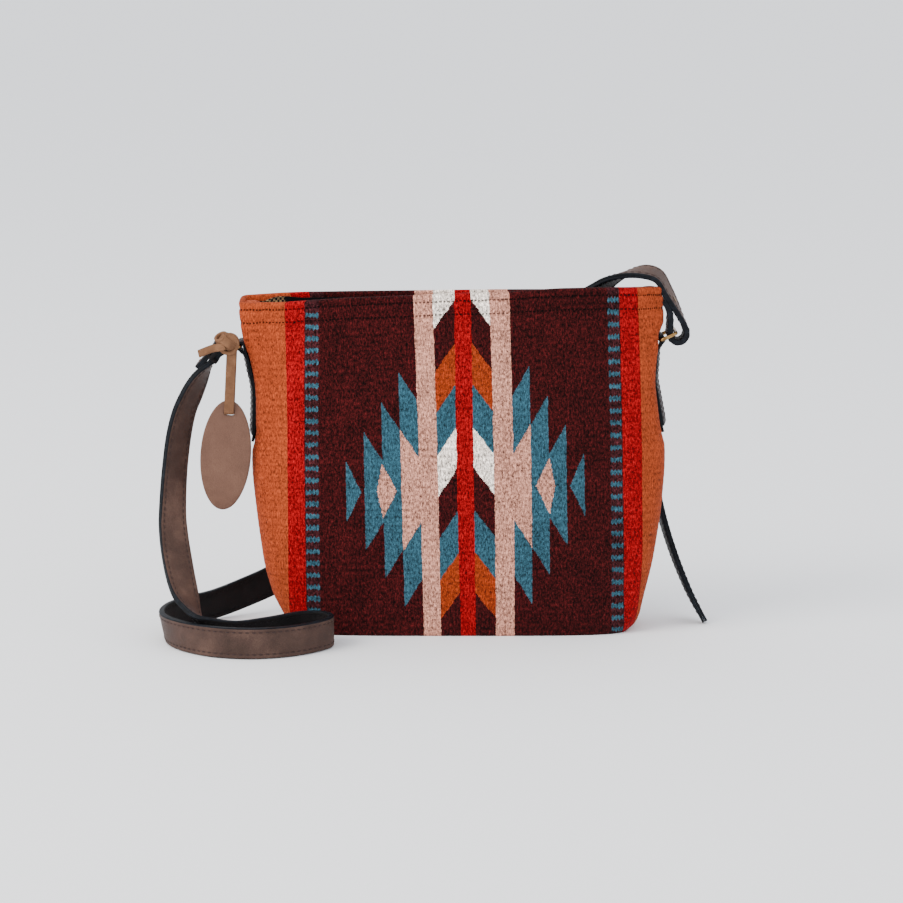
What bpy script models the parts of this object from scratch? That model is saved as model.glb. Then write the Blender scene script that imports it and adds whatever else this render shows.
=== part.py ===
"""Small woven wool crossbody bag with a leather strap, buckle, rings, knotted lace and oval tag.

The bag stands on its flat base. X runs across the front, to the right, Y runs back and Z runs up.
The origin is the middle of the base. Sizes here are in millimetres and become metres in the meshes.
"""
import math

import bmesh
import bpy
import numpy as np
from mathutils import Matrix, Vector

MM = 0.001
GAP = 0.4                   # clearance between pieces that touch on the real bag

# Woven body: one height per level, with the half width, half depth and sideways shift there
BODY_HEIGHT = 204.0
BODY_WIDTH = 251.6          # across the mouth
BASE_DEPTH = 58.0           # widest depth, just above the base
RIM_RISE = 9.0              # the right end of the rim stands this much higher than the left
WALL = 3.5
SHAPE_POWER = 4.5           # a flat-sided oval: 2 is an ellipse, more is boxier
LEVEL_HEIGHT = np.array([0.0, 3.5, 10.0, 22.0, 40.0, 70.0, 96.0, 111.0, 122.0, 148.0, 170.0, 184.0, 204.0]) / 204.0
LEVEL_WIDTH = np.array([97.0, 103.5, 108.0, 112.5, 117.5, 121.8, 124.2, 123.8, 120.3, 117.3, 120.2, 125.0, 125.8]) / 125.8
LEVEL_DEPTH = np.array([23.0, 26.3, 28.0, 28.8, 29.0, 28.0, 25.8, 24.2, 22.8, 18.8, 15.0, 13.0, 10.8]) / 29.0
LEVEL_SHIFT = np.array([0.0, 0.0, 0.0, -0.8, -1.5, -1.7, -2.0, -2.2, -2.4, -4.5, -6.2, -6.5, -6.8])
AROUND = 48                 # points round each level

# Lining
LINING_WALL = 0.8
LINING_DROP = 6.0           # from the rim down to the lining's edge

# Side tabs, each one strip folded over its ring
TAB_WIDTH = 18.0
TAB_LEATHER = 1.5
TAB_LENGTH = {"left": 55.5, "right": 59.4}   # from the ring's bar down
TAB_STEP = 4.0              # the outer leg ends this much higher

# Rings, rounded rectangles of brass wire
RING_WIRE = 1.1             # radius
RING_SIDE = 0.8             # clearance beside the strap and the tab
TAB_EASE = 0.45             # between the wire and the leather folded over it
STRAP_EASE = 0.6            # between the wire and the strap folded over it
RING_ROOM = 2.15            # left over between the two folds
RING_CORNER = 2.2
RING_DROP = {"left": 26.8, "right": 31.9}    # from the rim's end down to the bar
RING_LIFT = {"left": 8.0, "right": 25.0}     # degrees above level, pointing away from the bag

# Strap: a brown face and a black backing, sewn together
STRAP_WIDTH = 18.0
STRAP_LAYER = 1.5
LAYER_GAP = 0.3
STRAP_THICK = 2 * STRAP_LAYER + LAYER_GAP
TIP_LENGTH = 14.0           # pointed free end
STRAP_STEP = 6.5            # longest facet along a strap of the width below
STEP_WIDTH = 18.0           # a wider strap takes shorter facets, because its twists are steeper
RING_INNER_LENGTH = TAB_LEATHER + TAB_EASE + RING_ROOM + STRAP_EASE + STRAP_THICK

# Buckle: rest bar at its own origin, heel bar further along the strap
BUCKLE_PLACE = (27.0, 25.5, 151.0)
BUCKLE_ALONG = (0.66, -0.09, 0.745)
BUCKLE_OUT = (0.0, 1.0, 0.12)
BUCKLE_WIRE = 1.2
BUCKLE_LENGTH = 20.0        # between the two bars
PRONG_WIRE = 1.0
PRONG_SLOT = 3.2
HOLE_RADIUS = 1.5
HOLE_PITCH = 22.0
HOLE_COUNT = 5

# Keeper, a leather loop round both straps
KEEPER_AT = 36.5            # along the strap from the rest bar
KEEPER_LENGTH = 6.5
KEEPER_LEATHER = 1.4

# Rivet through the folded right end
RIVET_SHANK = 1.2
RIVET_HEAD = 2.8
RIVET_HEAD_THICK = 0.8
RIVET_PLACE = (126.7, 0.0, 199.6)

# The way the strap's folded left end points from its ring, and the way square to it
LEFT_AWAY = np.array([-0.674, 0.0, -0.739])
LEFT_ABOVE = np.array([-0.739, 0.0, 0.674])

# Lace, its knot and the tag
LACE_WIDTH = 5.5
LACE_THICK = 1.6
KNOT_FROM_RING = (2.0, -8.4, 1.4)            # from the ring's outer bar and the strap's edge
KNOT_SIZE = (6.4, 4.4, 6.2)
LACE_TAIL = (-18.0, -0.6, -7.0)              # from the knot to the lace's free end
TAG_LENGTH = 65.0
TAG_WIDTH = 29.0
TAG_THICK = 2.4
TAG_TILT = 5.5              # degrees, the top leans to the right
TAG_FROM_KNOT = (1.6, 0.0, -34.7)            # from the knot to the tag's top
TAG_SLOT_DROP = 6.2         # from the tag's top to the slot's middle
TAG_SLOT_EASE = (1.1, 3.0)  # slot width and height beyond the lace's width and thickness

# The body and strap that the routes below were chosen round: width, depth, height, strap thickness
CHOSEN_BODY = (251.6, 58.0, 204.0)
CHOSEN_THICK = 3.3

# The long strap's hand-chosen route after its left loop: middle point, then the way its first edge points
LONG_ROUTE = [
    ((-156.6, -1.6, 153.0), (-0.42, -0.9, 0.1)),
    ((-162.4, -4.0, 142.0), (-0.62, -0.78, 0.05)),
    ((-166.8, -5.2, 131.5), (-0.66, -0.75, 0.0)),
    ((-170.2, -7.2, 116.0), (-0.7, -0.72, 0.0)),
    ((-172.5, -11.0, 95.0), (-0.7, -0.7, 0.0)),
    ((-173.2, -18.0, 74.0), (-0.76, -0.64, 0.0)),
    ((-172.2, -24.5, 62.0), (-0.84, -0.5, 0.05)),
    ((-169.6, -33.5, 49.0), (-0.9, -0.3, 0.15)),
    ((-164.6, -44.0, 36.5), (-0.84, -0.15, 0.4)),
    ((-156.8, -54.5, 25.2), (-0.66, -0.1, 0.72)),
    ((-145.5, -62.5, 14.8), (-0.4, -0.05, 0.9)),
    ((-130.5, -63.0, 9.9), (-0.12, 0.0, 0.99)),
    ((-113.5, -53.5, 9.5), (0.0, 0.0, 1.0)),
    ((-97.5, -43.5, 9.5), (0.0, 0.0, 1.0)),
    ((-85.5, -41.0, 9.5), (0.0, 0.0, 1.0)),
    ((-78.2, -47.5, 9.5), (0.0, 0.0, 1.0)),
    ((-78.4, -58.5, 9.5), (0.0, 0.0, 1.0)),
    ((-87.0, -70.0, 9.5), (0.0, 0.0, 1.0)),
    ((-102.0, -80.5, 9.5), (0.0, 0.0, 1.0)),
    ((-122.0, -85.5, 9.5), (0.0, 0.0, 1.0)),
    ((-143.0, -81.5, 9.5), (0.0, 0.0, 1.0)),
    ((-160.5, -70.0, 9.5), (0.0, 0.0, 1.0)),
    ((-173.0, -54.5, 9.5), (0.0, 0.0, 1.0)),
    ((-178.3, -38.0, 9.5), (0.0, 0.0, 1.0)),
    ((-176.5, -19.5, 9.5), (0.0, 0.0, 1.0)),
    ((-167.0, -1.5, 9.5), (0.0, 0.0, 1.0)),
    ((-152.5, 14.5, 9.7), (0.0, 0.0, 1.0)),
    ((-136.0, 27.0, 13.5), (-0.12, 0.0, 0.99)),
    ((-114.0, 35.0, 22.0), (-0.28, -0.05, 0.95)),
    ((-87.0, 37.5, 37.0), (-0.44, -0.05, 0.89)),
    ((-58.0, 37.0, 57.0), (-0.58, 0.0, 0.81)),
    ((-31.0, 35.0, 82.0), (-0.68, 0.0, 0.73)),
    ((-10.0, 31.0, 106.5), (-0.74, 0.0, 0.67)),
]
# Through the buckle and the keeper, as (along, out) in the buckle's own frame
LONG_THROUGH_BUCKLE = [
    (-26.0, 1.0), (-12.0, -2.8), (0.0, -4.0), (5.5, -2.4), (10.5, 1.6),
    (15.0, 5.4), (20.0, 7.4), (27.0, 7.6), (33.0, 6.5), (40.0, 6.5), (47.0, 7.6),
]
LONG_TAIL = [
    ((64.5, 34.0, 189.5), (-0.5, -0.15, 0.85)),
    ((76.5, 38.5, 191.0), (-0.1, -0.35, 0.93)),
    ((88.5, 41.0, 185.5), (0.2, -0.65, 0.7)),
    ((98.5, 42.0, 174.0), (0.25, -0.85, 0.4)),
    ((106.0, 41.5, 158.0), (0.15, -0.95, 0.15)),
    ((111.5, 40.0, 138.0), (0.0, -1.0, 0.0)),
    ((115.5, 38.0, 115.0), (0.0, -1.0, 0.0)),
    ((118.8, 35.5, 92.0), (0.0, -1.0, 0.0)),
    ((123.0, 32.5, 68.0), (0.0, -1.0, 0.0)),
    ((129.8, 28.5, 44.0), (0.0, -1.0, 0.0)),
    ((138.2, 23.5, 20.0), (0.0, -1.0, 0.0)),
    ((147.2, 18.5, 1.9), (0.0, -1.0, 0.0)),
]
# The short strap's folded end on the heel bar, in the buckle's frame, and its route over the rim
SHORT_PAST_BUCKLE = [(27.0, 3.3), (33.0, 2.5), (40.0, 2.5), (47.0, 1.8)]
SHORT_ROUTE = [
    ((66.0, 22.0, 194.5), (-0.62, -0.3, 0.72)),
    ((77.5, 18.6, 204.5), (-0.5, -0.6, 0.55)),
    ((88.0, 14.3, 211.3), (-0.2, -0.88, 0.35)),
    ((98.0, 8.0, 215.3), (0.0, -0.99, 0.1)),
    ((108.0, 3.2, 216.6), (-0.14, -0.95, -0.2)),
    ((117.2, 0.8, 213.4), (-0.17, -0.95, -0.24)),
    ((125.3, -0.2, 205.9), (-0.2, -0.95, -0.16)),
    ((130.8, 0.0, 196.4), (-0.14, -0.98, -0.08)),
    ((134.4, 0.0, 187.0), (-0.05, -0.99, 0.0)),
]
SHORT_RETURN = [
    ((125.6, 0.0, 186.0), (0.0, -1.0, 0.0)),
    ((126.3, 0.0, 192.3), (-0.03, -1.0, 0.0)),
    ((124.9, -0.1, 198.2), (-0.1, -0.98, -0.06)),
    ((121.9, -0.2, 202.4), (-0.14, -0.97, -0.1)),
]


def material(name, colour, roughness, metallic=0.0):
    """Return a Principled material of one colour."""
    made = bpy.data.materials.new(name)
    made.use_nodes = True
    shader = made.node_tree.nodes["Principled BSDF"]
    shader.inputs["Base Color"].default_value = (*colour, 1.0)
    shader.inputs["Roughness"].default_value = roughness
    shader.inputs["Metallic"].default_value = metallic
    return made


def finished(name, shape, finish, smooth=True, origin=(0.0, 0.0, 0.0)):
    """Turn a bmesh in metres into a named object whose origin is a point in millimetres."""
    offset = Vector(origin) * MM
    bmesh.ops.translate(shape, verts=shape.verts, vec=-offset)
    bmesh.ops.recalc_face_normals(shape, faces=shape.faces)
    mesh = bpy.data.meshes.new(name)
    shape.to_mesh(mesh)
    shape.free()
    if smooth:
        mesh.shade_smooth()
        mesh.set_sharp_from_angle(angle=math.radians(35))
    return linked(name, mesh, finish, offset)


def linked(name, data, finish, offset):
    """Put an object that holds this mesh or curve into the scene."""
    made = bpy.data.objects.new(name, data)
    made.location = offset
    data.materials.append(finish)
    bpy.context.scene.collection.objects.link(made)
    return made


def place(name, vertices, faces, finish, smooth=True):
    """Make one named object from points in millimetres and faces."""
    shape = bmesh.new()
    corners = [shape.verts.new(tuple(v * MM for v in point)) for point in vertices]
    for face in faces:
        shape.faces.new([corners[k] for k in face])
    return finished(name, shape, finish, smooth)


def boolean(target, cutter, operation):
    """Cut or join the cutter into the target with the exact solver, then hide the cutter."""
    step = target.modifiers.new(operation.lower(), "BOOLEAN")
    step.operation = operation
    step.solver = "EXACT"
    step.object = cutter
    cutter.hide_render = True
    cutter.display_type = "WIRE"


def level_sizes(fraction):
    """Half width, half depth and sideways shift of the outer cloth at a share of the height."""
    return (
        np.interp(fraction, LEVEL_HEIGHT, LEVEL_WIDTH) * BODY_WIDTH / 2,
        np.interp(fraction, LEVEL_HEIGHT, LEVEL_DEPTH) * BASE_DEPTH / 2,
        np.interp(fraction, LEVEL_HEIGHT, LEVEL_SHIFT),
    )


def level_loop(fraction, inset, height=None):
    """Points of a flat-sided oval at a share of the height, set in from the outer cloth."""
    half_width, half_depth, shift = level_sizes(fraction)
    turn = np.linspace(0.0, 2 * math.pi, AROUND, endpoint=False)
    across = (half_width - inset) * np.sign(np.cos(turn)) * np.abs(np.cos(turn)) ** (2 / SHAPE_POWER)
    deep = (half_depth - inset) * np.sign(np.sin(turn)) * np.abs(np.sin(turn)) ** (2 / SHAPE_POWER)
    deep[[0, AROUND // 2]] = 0.0
    up = fraction * BODY_HEIGHT if height is None else height
    tilt = RIM_RISE * np.clip(up / BODY_HEIGHT, 0.0, 1.0) * (across + shift) / BODY_WIDTH
    return np.column_stack([across + shift, deep, up + tilt])


def cup(name, loops, finish):
    """Join loops of points, from the base up the outside and down the inside, and fill both ends."""
    shape = bmesh.new()
    rings = [[shape.verts.new(tuple(v * MM for v in point)) for point in loop] for loop in loops]
    shape.faces.new(rings[0])
    shape.faces.new(rings[-1])
    for below, above in zip(rings, rings[1:]):
        for k in range(AROUND):
            shape.faces.new((below[k], above[k], above[k - 1], below[k - 1]))
    return finished(name, shape, finish)


def woven_body(finish):
    """The folded and sewn cloth: a thin open cup with a flat base."""
    outer = [level_loop(fraction, 0.0) for fraction in LEVEL_HEIGHT]
    inner_levels = [fraction for fraction in LEVEL_HEIGHT[::-1] if fraction * BODY_HEIGHT > WALL + 1.0]
    inner = [level_loop(fraction, WALL) for fraction in inner_levels]
    inner.append(level_loop(LEVEL_HEIGHT[1], WALL, WALL))
    return cup("woven_body", outer + inner, finish)


def lining(finish):
    """The thin cloth lining, a second cup just inside the first."""
    outside = WALL + GAP + 0.1
    inside = outside + LINING_WALL
    top = 1.0 - LINING_DROP / BODY_HEIGHT
    levels = [f for f in LEVEL_HEIGHT if WALL + GAP + 2.0 < f * BODY_HEIGHT and f < top - 0.02] + [top]
    outer = [level_loop(LEVEL_HEIGHT[1], outside, WALL + GAP)]
    outer += [level_loop(fraction, outside) for fraction in levels]
    inner = [level_loop(fraction, inside) for fraction in levels[::-1]]
    inner.append(level_loop(LEVEL_HEIGHT[1], inside, WALL + GAP + LINING_WALL))
    return cup("lining", outer + inner, finish)


def carried(point):
    """Move a hand-chosen strap point with the bag's sides, front, back and rim."""
    x, y, z = point
    x += math.copysign(min(1.0, abs(x) / 120.0), x) * (BODY_WIDTH - CHOSEN_BODY[0]) / 2
    y += math.copysign(min(1.0, abs(y) / 29.0), y) * (BASE_DEPTH - CHOSEN_BODY[1]) / 2
    z += min(1.0, max(0.0, z - 12.0) / 150.0) * (BODY_HEIGHT - CHOSEN_BODY[2])
    return np.array([x, y, z])


def route_of(stations):
    """The stations of a hand-chosen stretch, moved with the bag."""
    return [(carried(point), edge) for point, edge in stations]


def side_sign(side):
    """Left is toward -X and right is toward +X."""
    return -1.0 if side == "left" else 1.0


def gusset_x(side, height):
    """Where the outer cloth lies at the middle of a side, at a height."""
    sign = side_sign(side)
    fraction = height / (BODY_HEIGHT + sign * RIM_RISE / 2)
    half_width, _, shift = level_sizes(fraction)
    return sign * half_width + shift


def ring_axis(side):
    """The point where a ring's bar turns in its tab's fold."""
    half_width, _, shift = level_sizes(1.0)
    rim_end = BODY_HEIGHT + RIM_RISE * (side_sign(side) * half_width + shift) / BODY_WIDTH
    height = rim_end - RING_DROP[side]
    reach = GAP + TAB_LEATHER + TAB_EASE + RING_WIRE
    return np.array([gusset_x(side, height) + side_sign(side) * reach, 0.0, height])


def ring_outer_bar(side):
    """The middle of a ring's outer bar, where the strap turns."""
    lift = math.radians(RING_LIFT[side])
    reach = RING_INNER_LENGTH + 2 * RING_WIRE
    return ring_axis(side) + reach * np.array([side_sign(side) * math.cos(lift), 0.0, math.sin(lift)])


def smooth_route(stations, longest):
    """Read points and edge directions from a smooth curve through hand-chosen stations."""
    points = np.array([station[0] for station in stations], float)
    edges = np.array([station[1] for station in stations], float)
    edges /= np.linalg.norm(edges, axis=1)[:, None]
    extended = [np.vstack([2 * values[0] - values[1], values, 2 * values[-1] - values[-2]]) for values in (points, edges)]
    route, widths = [], []
    for span in range(len(points) - 1):
        length = np.linalg.norm(points[span + 1] - points[span])
        steps = max(2, math.ceil(length / longest))
        for step in range(steps + (span == len(points) - 2)):
            t = step / steps
            weights = np.array([-t + 2 * t**2 - t**3, 2 - 5 * t**2 + 3 * t**3, t + 4 * t**2 - 3 * t**3, -t**2 + t**3]) / 2
            route.append(weights @ extended[0][span : span + 4])
            widths.append(weights @ extended[1][span : span + 4])
    route, widths = np.array(route), np.array(widths)
    along = np.gradient(route, axis=0)
    along /= np.linalg.norm(along, axis=1)[:, None]
    widths -= np.sum(widths * along, axis=1)[:, None] * along
    widths /= np.linalg.norm(widths, axis=1)[:, None]
    outward = np.cross(widths, along)
    return route, widths, outward


def ribbon(name, route, widths, outward, half_width, low, high, finish):
    """A flat strip along a route: half_width may change along it, low and high are its two faces."""
    half = np.broadcast_to(half_width, len(route))[:, None]
    corners = [(-1, low), (1, low), (1, high), (-1, high)]
    rings = [route + side * half * widths + level * outward for side, level in corners]
    vertices = np.stack(rings, axis=1).reshape(-1, 3)
    count = len(route)
    faces = [(0, 1, 2, 3), tuple(4 * count - 4 + k for k in (3, 2, 1, 0))]
    for row in range(count - 1):
        for column in range(4):
            following = (column + 1) % 4
            a, b = 4 * row + column, 4 * row + following
            if column == 2:
                faces += [(a, a + 4, b), (b, a + 4, b + 4)]
            else:
                faces += [(a, a + 4, b + 4), (a, b + 4, b)]
    return place(name, vertices, faces, finish, smooth=False)


def strap_layers(name, route, widths, outward, half_width, finishes):
    """The brown face and the black backing of one strap."""
    edge = LAYER_GAP / 2
    face = ribbon(name + "_face", route, widths, outward, half_width, edge, edge + STRAP_LAYER, finishes[0])
    backing = ribbon(name + "_backing", route, widths, outward, half_width, -edge - STRAP_LAYER, -edge, finishes[1])
    return face, backing


def tab(side, finish):
    """A leather strip up the side of the bag, round the ring's bar and down again."""
    sign = side_sign(side)
    axis = ring_axis(side)
    inner = GAP + TAB_LEATHER / 2
    outer = inner + TAB_LEATHER + LAYER_GAP
    fold = RING_WIRE + TAB_EASE + TAB_LEATHER / 2
    foot = axis[2] - TAB_LENGTH[side]
    heights = np.linspace(foot, axis[2] - 3.0, 7)
    path = [(gusset_x(side, z) + sign * inner, z) for z in heights]
    for degrees in range(180, -41, -22):
        turn = math.radians(degrees)
        path.append((axis[0] + sign * fold * math.cos(turn), axis[2] + fold * math.sin(turn)))
    for z in np.linspace(axis[2] - 7.0, foot + TAB_STEP, 6):
        path.append((gusset_x(side, z) + sign * outer, z))
    route = np.array([(x, 0.0, z) for x, z in path])
    along = np.gradient(route, axis=0)
    along /= np.linalg.norm(along, axis=1)[:, None]
    widths = np.tile((0.0, -1.0, 0.0), (len(route), 1))
    outward = np.cross(widths, along)
    return ribbon(side + "_tab", route, widths, outward, TAB_WIDTH / 2, -TAB_LEATHER / 2, TAB_LEATHER / 2, finish)


def wire(name, points, radius, finish, closed, origin=(0.0, 0.0, 0.0)):
    """A round wire along a line of points, as a curve with a bevel."""
    curve = bpy.data.curves.new(name, "CURVE")
    curve.dimensions = "3D"
    curve.bevel_depth = radius * MM
    curve.bevel_resolution = 2
    curve.use_fill_caps = not closed
    spline = curve.splines.new("POLY")
    spline.points.add(len(points) - 1)
    spline.use_cyclic_u = closed
    for spot, point in zip(spline.points, points):
        spot.co = (*((np.array(point) - np.array(origin)) * MM), 1.0)
    return linked(name, curve, finish, Vector(origin) * MM)


def rounded_rectangle(length, width, corner, steps=3):
    """Points round a rectangle whose corners are arcs, first along its length."""
    points = []
    for cx, cy, start in ((1, 1, 0), (-1, 1, 90), (-1, -1, 180), (1, -1, 270)):
        for step in range(steps + 1):
            turn = math.radians(start + 90 * step / steps)
            points.append((
                cx * (length / 2 - corner) + corner * math.cos(turn),
                cy * (width / 2 - corner) + corner * math.sin(turn),
            ))
    return points


def strap_ring(side, finish):
    """A rounded rectangle of wire with its inner bar in the tab and its outer bar in the strap."""
    axis = ring_axis(side)
    reach = ring_outer_bar(side) - axis
    middle = axis + reach / 2
    length = RING_INNER_LENGTH + 2 * RING_WIRE
    out_way = reach / np.linalg.norm(reach)
    inner_width = max(STRAP_WIDTH, TAB_WIDTH) + 2 * RING_SIDE
    outline = rounded_rectangle(length, inner_width + 2 * RING_WIRE, RING_CORNER)
    points = [middle + s * out_way + np.array([0.0, w, 0.0]) for s, w in outline]
    return wire(side + "_ring", points, RING_WIRE, finish, closed=True, origin=axis)


def buckle_frame_axes():
    """The buckle's own directions: along the strap, toward the strap's first edge, and out."""
    along = np.array(BUCKLE_ALONG) / np.linalg.norm(BUCKLE_ALONG)
    out = np.array(BUCKLE_OUT) - np.dot(BUCKLE_OUT, along) * along
    out /= np.linalg.norm(out)
    return along, np.cross(along, out), out


def on_buckle(s, w, n):
    """A point given along, across and out from the buckle's rest bar."""
    along, across, out = buckle_frame_axes()
    return carried(BUCKLE_PLACE) + s * along + w * across + n * out


def buckle_stations(pairs):
    """Turn (along, out) pairs into strap stations."""
    across = buckle_frame_axes()[1]
    return [(on_buckle(s, 0.0, n * STRAP_THICK / CHOSEN_THICK), across) for s, n in pairs]


def loop_round_bar(bar, away, turns, radius):
    """Stations of a strap that turns round a bar parallel to Y; away points down both legs."""
    toward = -np.array(away) / np.linalg.norm(away)
    side_way = np.array([-toward[2], 0.0, toward[0]])
    stations = []
    for degrees in turns:
        turn = math.radians(degrees)
        spot = bar + radius * (math.cos(turn) * toward + math.sin(turn) * side_way)
        stations.append((spot, (0.0, -1.0, 0.0)))
    return stations


def long_strap(finishes):
    """From the left ring down to the floor, round its loop, behind the bag and through the buckle."""
    bar = ring_outer_bar("left")
    radius = RING_WIRE + STRAP_EASE + STRAP_THICK / 2
    away, above = LEFT_AWAY, LEFT_ABOVE
    near = (0.0, -1.0, 0.0)
    close = STRAP_THICK / 2 + 0.25
    ends = [(bar + along * away + apart * above, near) for along, apart in ((21.5, close), (15.0, close), (8.0, close + 0.3))]
    turn = loop_round_bar(bar, away, (90, 45, 0, -45, -90), radius)
    leaves = [(bar + along * away - apart * above, near) for along, apart in ((8.0, close + 0.3), (14.0, close))]
    stations = ends + turn + leaves + route_of(LONG_ROUTE)
    stations += buckle_stations(LONG_THROUGH_BUCKLE) + route_of(LONG_TAIL)
    route, widths, outward = smooth_route(stations, STRAP_STEP * min(1.0, STEP_WIDTH / STRAP_WIDTH))
    steps = np.linalg.norm(np.diff(route, axis=0), axis=1)
    left_over = np.sum(steps) - np.concatenate([[0.0], np.cumsum(steps)])
    half_width = STRAP_WIDTH / 2 * np.sqrt(np.clip(left_over / TIP_LENGTH, 0.06, 1.0))
    layers = strap_layers("long_strap", route, widths, outward, half_width, finishes)
    for layer in layers:
        for index in range(HOLE_COUNT):
            cut_hole(layer, route, outward, steps, index)
    return layers


def cut_hole(layer, route, outward, steps, index):
    """Punch one adjusting hole; the first, longer one is where the prong passes."""
    lengths = np.concatenate([[0.0], np.cumsum(steps)])
    prong_spot = on_buckle(BUCKLE_LENGTH * 0.53, 0.0, 1.8)
    at_prong = lengths[np.argmin(np.linalg.norm(route - prong_spot, axis=1))]
    target = at_prong + (index - 2) * HOLE_PITCH if index != 2 else at_prong
    nearest = int(np.argmin(np.abs(lengths - target)))
    spot = np.array([np.interp(target, lengths, route[:, k]) for k in range(3)])
    out = outward[nearest]
    if index == 2:
        along, across, out = buckle_frame_axes()
        cutter = block("prong_hole_cut_" + layer.name, prong_spot, along, across, out, (10.0, PRONG_SLOT, 14.0))
    else:
        cutter = pin("hole_cut_%d_%s" % (index, layer.name), spot, out, HOLE_RADIUS, 6.0, 10)
    boolean(layer, cutter, "DIFFERENCE")


def short_strap(finishes):
    """From the buckle over the rim and through the right ring, with both ends folded back."""
    radius = BUCKLE_WIRE + 0.5 + STRAP_THICK / 2
    across = buckle_frame_axes()[1]
    fold = buckle_stations([(31.5, -1.9), (26.0, -2.7)])
    for degrees in (-90, -120, -150, 180, 150, 120, 90):
        turn = math.radians(degrees)
        spot = on_buckle(BUCKLE_LENGTH + radius * math.cos(turn), 0.0, radius * math.sin(turn))
        fold.append((spot, across))
    bar = ring_outer_bar("right")
    reach = (RING_WIRE + STRAP_EASE + STRAP_THICK / 2) / (RING_WIRE + STRAP_EASE + CHOSEN_THICK / 2)
    loop = []
    for x, z in ((3.6, -0.6), (2.4, -4.2), (-0.4, -5.6), (-3.4, -4.9), (-3.9, -1.8)):
        loop.append((bar + reach * np.array([x, 0.0, z]), (0.0, -1.0, 0.0)))
    thicker = (CHOSEN_THICK - STRAP_THICK) * rivet_way()
    back = [(point + thicker, edge) for point, edge in route_of(SHORT_RETURN)]
    stations = fold + buckle_stations(SHORT_PAST_BUCKLE) + route_of(SHORT_ROUTE) + loop + back
    route, widths, outward = smooth_route(stations, STRAP_STEP * min(1.0, STEP_WIDTH / STRAP_WIDTH))
    layers = strap_layers("short_strap", route, widths, outward, STRAP_WIDTH / 2, finishes)
    along, across, out = buckle_frame_axes()
    for layer in layers:
        slot = block(
            "prong_slot_cut_" + layer.name, on_buckle(BUCKLE_LENGTH - 1.0, 0.0, 0.0),
            along, across, out, (14.0, PRONG_SLOT, 16.0),
        )
        boolean(layer, slot, "DIFFERENCE")
        shank = pin("rivet_cut_" + layer.name, rivet_place(), rivet_way(), RIVET_SHANK + GAP, 16.0, 10)
        boolean(layer, shank, "DIFFERENCE")
    return layers


def rivet_place():
    """The rivet's middle, between the strap's two legs."""
    return carried(RIVET_PLACE) + (CHOSEN_THICK - STRAP_THICK) / 2 * rivet_way()


def rivet_way():
    """The rivet's axis, square to the two strap legs that it holds."""
    way = np.array([0.85, 0.0, 0.53])
    return way / np.linalg.norm(way)


def frame_of(centre, first, second, third):
    """A matrix in metres whose axes are three directions, at a point in millimetres."""
    made = Matrix((first, second, third)).transposed().to_4x4()
    made.translation = Vector(centre) * MM
    return made


def square_to(way):
    """Two directions square to a way and to each other."""
    first = np.cross(way, (0.0, 1.0, 0.0))
    first /= np.linalg.norm(first)
    return first, np.cross(way, first)


def block(name, centre, along, across, out, size):
    """A box with its three directions and sizes."""
    shape = bmesh.new()
    scale = Matrix.Diagonal((*(v * MM for v in size), 1.0))
    bmesh.ops.create_cube(shape, size=1.0, matrix=frame_of(centre, along, across, out) @ scale)
    return finished(name, shape, CUTTER_FINISH, smooth=False)


def pin(name, centre, way, radius, length, sides):
    """A short round bar about a point."""
    way = np.array(way) / np.linalg.norm(way)
    first, second = square_to(way)
    shape = bmesh.new()
    bmesh.ops.create_cone(
        shape, cap_ends=True, segments=sides, radius1=radius * MM, radius2=radius * MM,
        depth=length * MM, matrix=frame_of(centre, first, second, way),
    )
    return finished(name, shape, CUTTER_FINISH)


def buckle_frame(finish):
    """A rounded rectangle of wire: rest bar at 0, heel bar at the buckle's length."""
    along, across, _ = buckle_frame_axes()
    middle = on_buckle(BUCKLE_LENGTH / 2, 0.0, 0.0)
    outline = rounded_rectangle(BUCKLE_LENGTH, STRAP_WIDTH + 2 * (RING_SIDE + BUCKLE_WIRE), RING_CORNER)
    points = [middle + s * along + w * across for s, w in outline]
    return wire("buckle_frame", points, BUCKLE_WIRE, finish, closed=True)


def buckle_prong(finish):
    """A wire hooked round the heel bar whose tip lies on the rest bar."""
    hook = BUCKLE_WIRE + 0.3 + PRONG_WIRE
    pairs = []
    for degrees in range(-60, -181, -30):
        turn = math.radians(degrees)
        pairs.append((BUCKLE_LENGTH + hook * math.cos(turn), hook * math.sin(turn)))
    pairs += [(BUCKLE_LENGTH - 4.5, 1.6), (8.0, 2.3), (0.0, BUCKLE_WIRE + 0.3 + PRONG_WIRE), (-2.2, 2.2)]
    points = [on_buckle(s, 0.0, n) for s, n in pairs]
    return wire("buckle_prong", points, PRONG_WIRE, finish, closed=False)


def strap_keeper(finish):
    """A square leather band round the short strap and the long strap's end."""
    low = 2.5 * STRAP_THICK / CHOSEN_THICK - STRAP_THICK / 2 - GAP
    high = 6.5 * STRAP_THICK / CHOSEN_THICK + STRAP_THICK / 2 + GAP
    half = STRAP_WIDTH / 2 + GAP
    vertices = []
    for s in (-KEEPER_LENGTH / 2, KEEPER_LENGTH / 2):
        for grow in (0.0, KEEPER_LEATHER):
            for w, n in ((-1, low - grow), (1, low - grow), (1, high + grow), (-1, high + grow)):
                vertices.append(on_buckle(KEEPER_AT + s, w * (half + grow), n))
    faces = []
    for k in range(4):
        m = (k + 1) % 4
        faces += [(k, m, m + 4, k + 4), (k + 8, k + 12, m + 12, m + 8)]
        faces += [(k, k + 8, m + 8, m), (k + 4, m + 4, m + 12, k + 12)]
    return place("strap_keeper", vertices, faces, finish, smooth=False)


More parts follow.
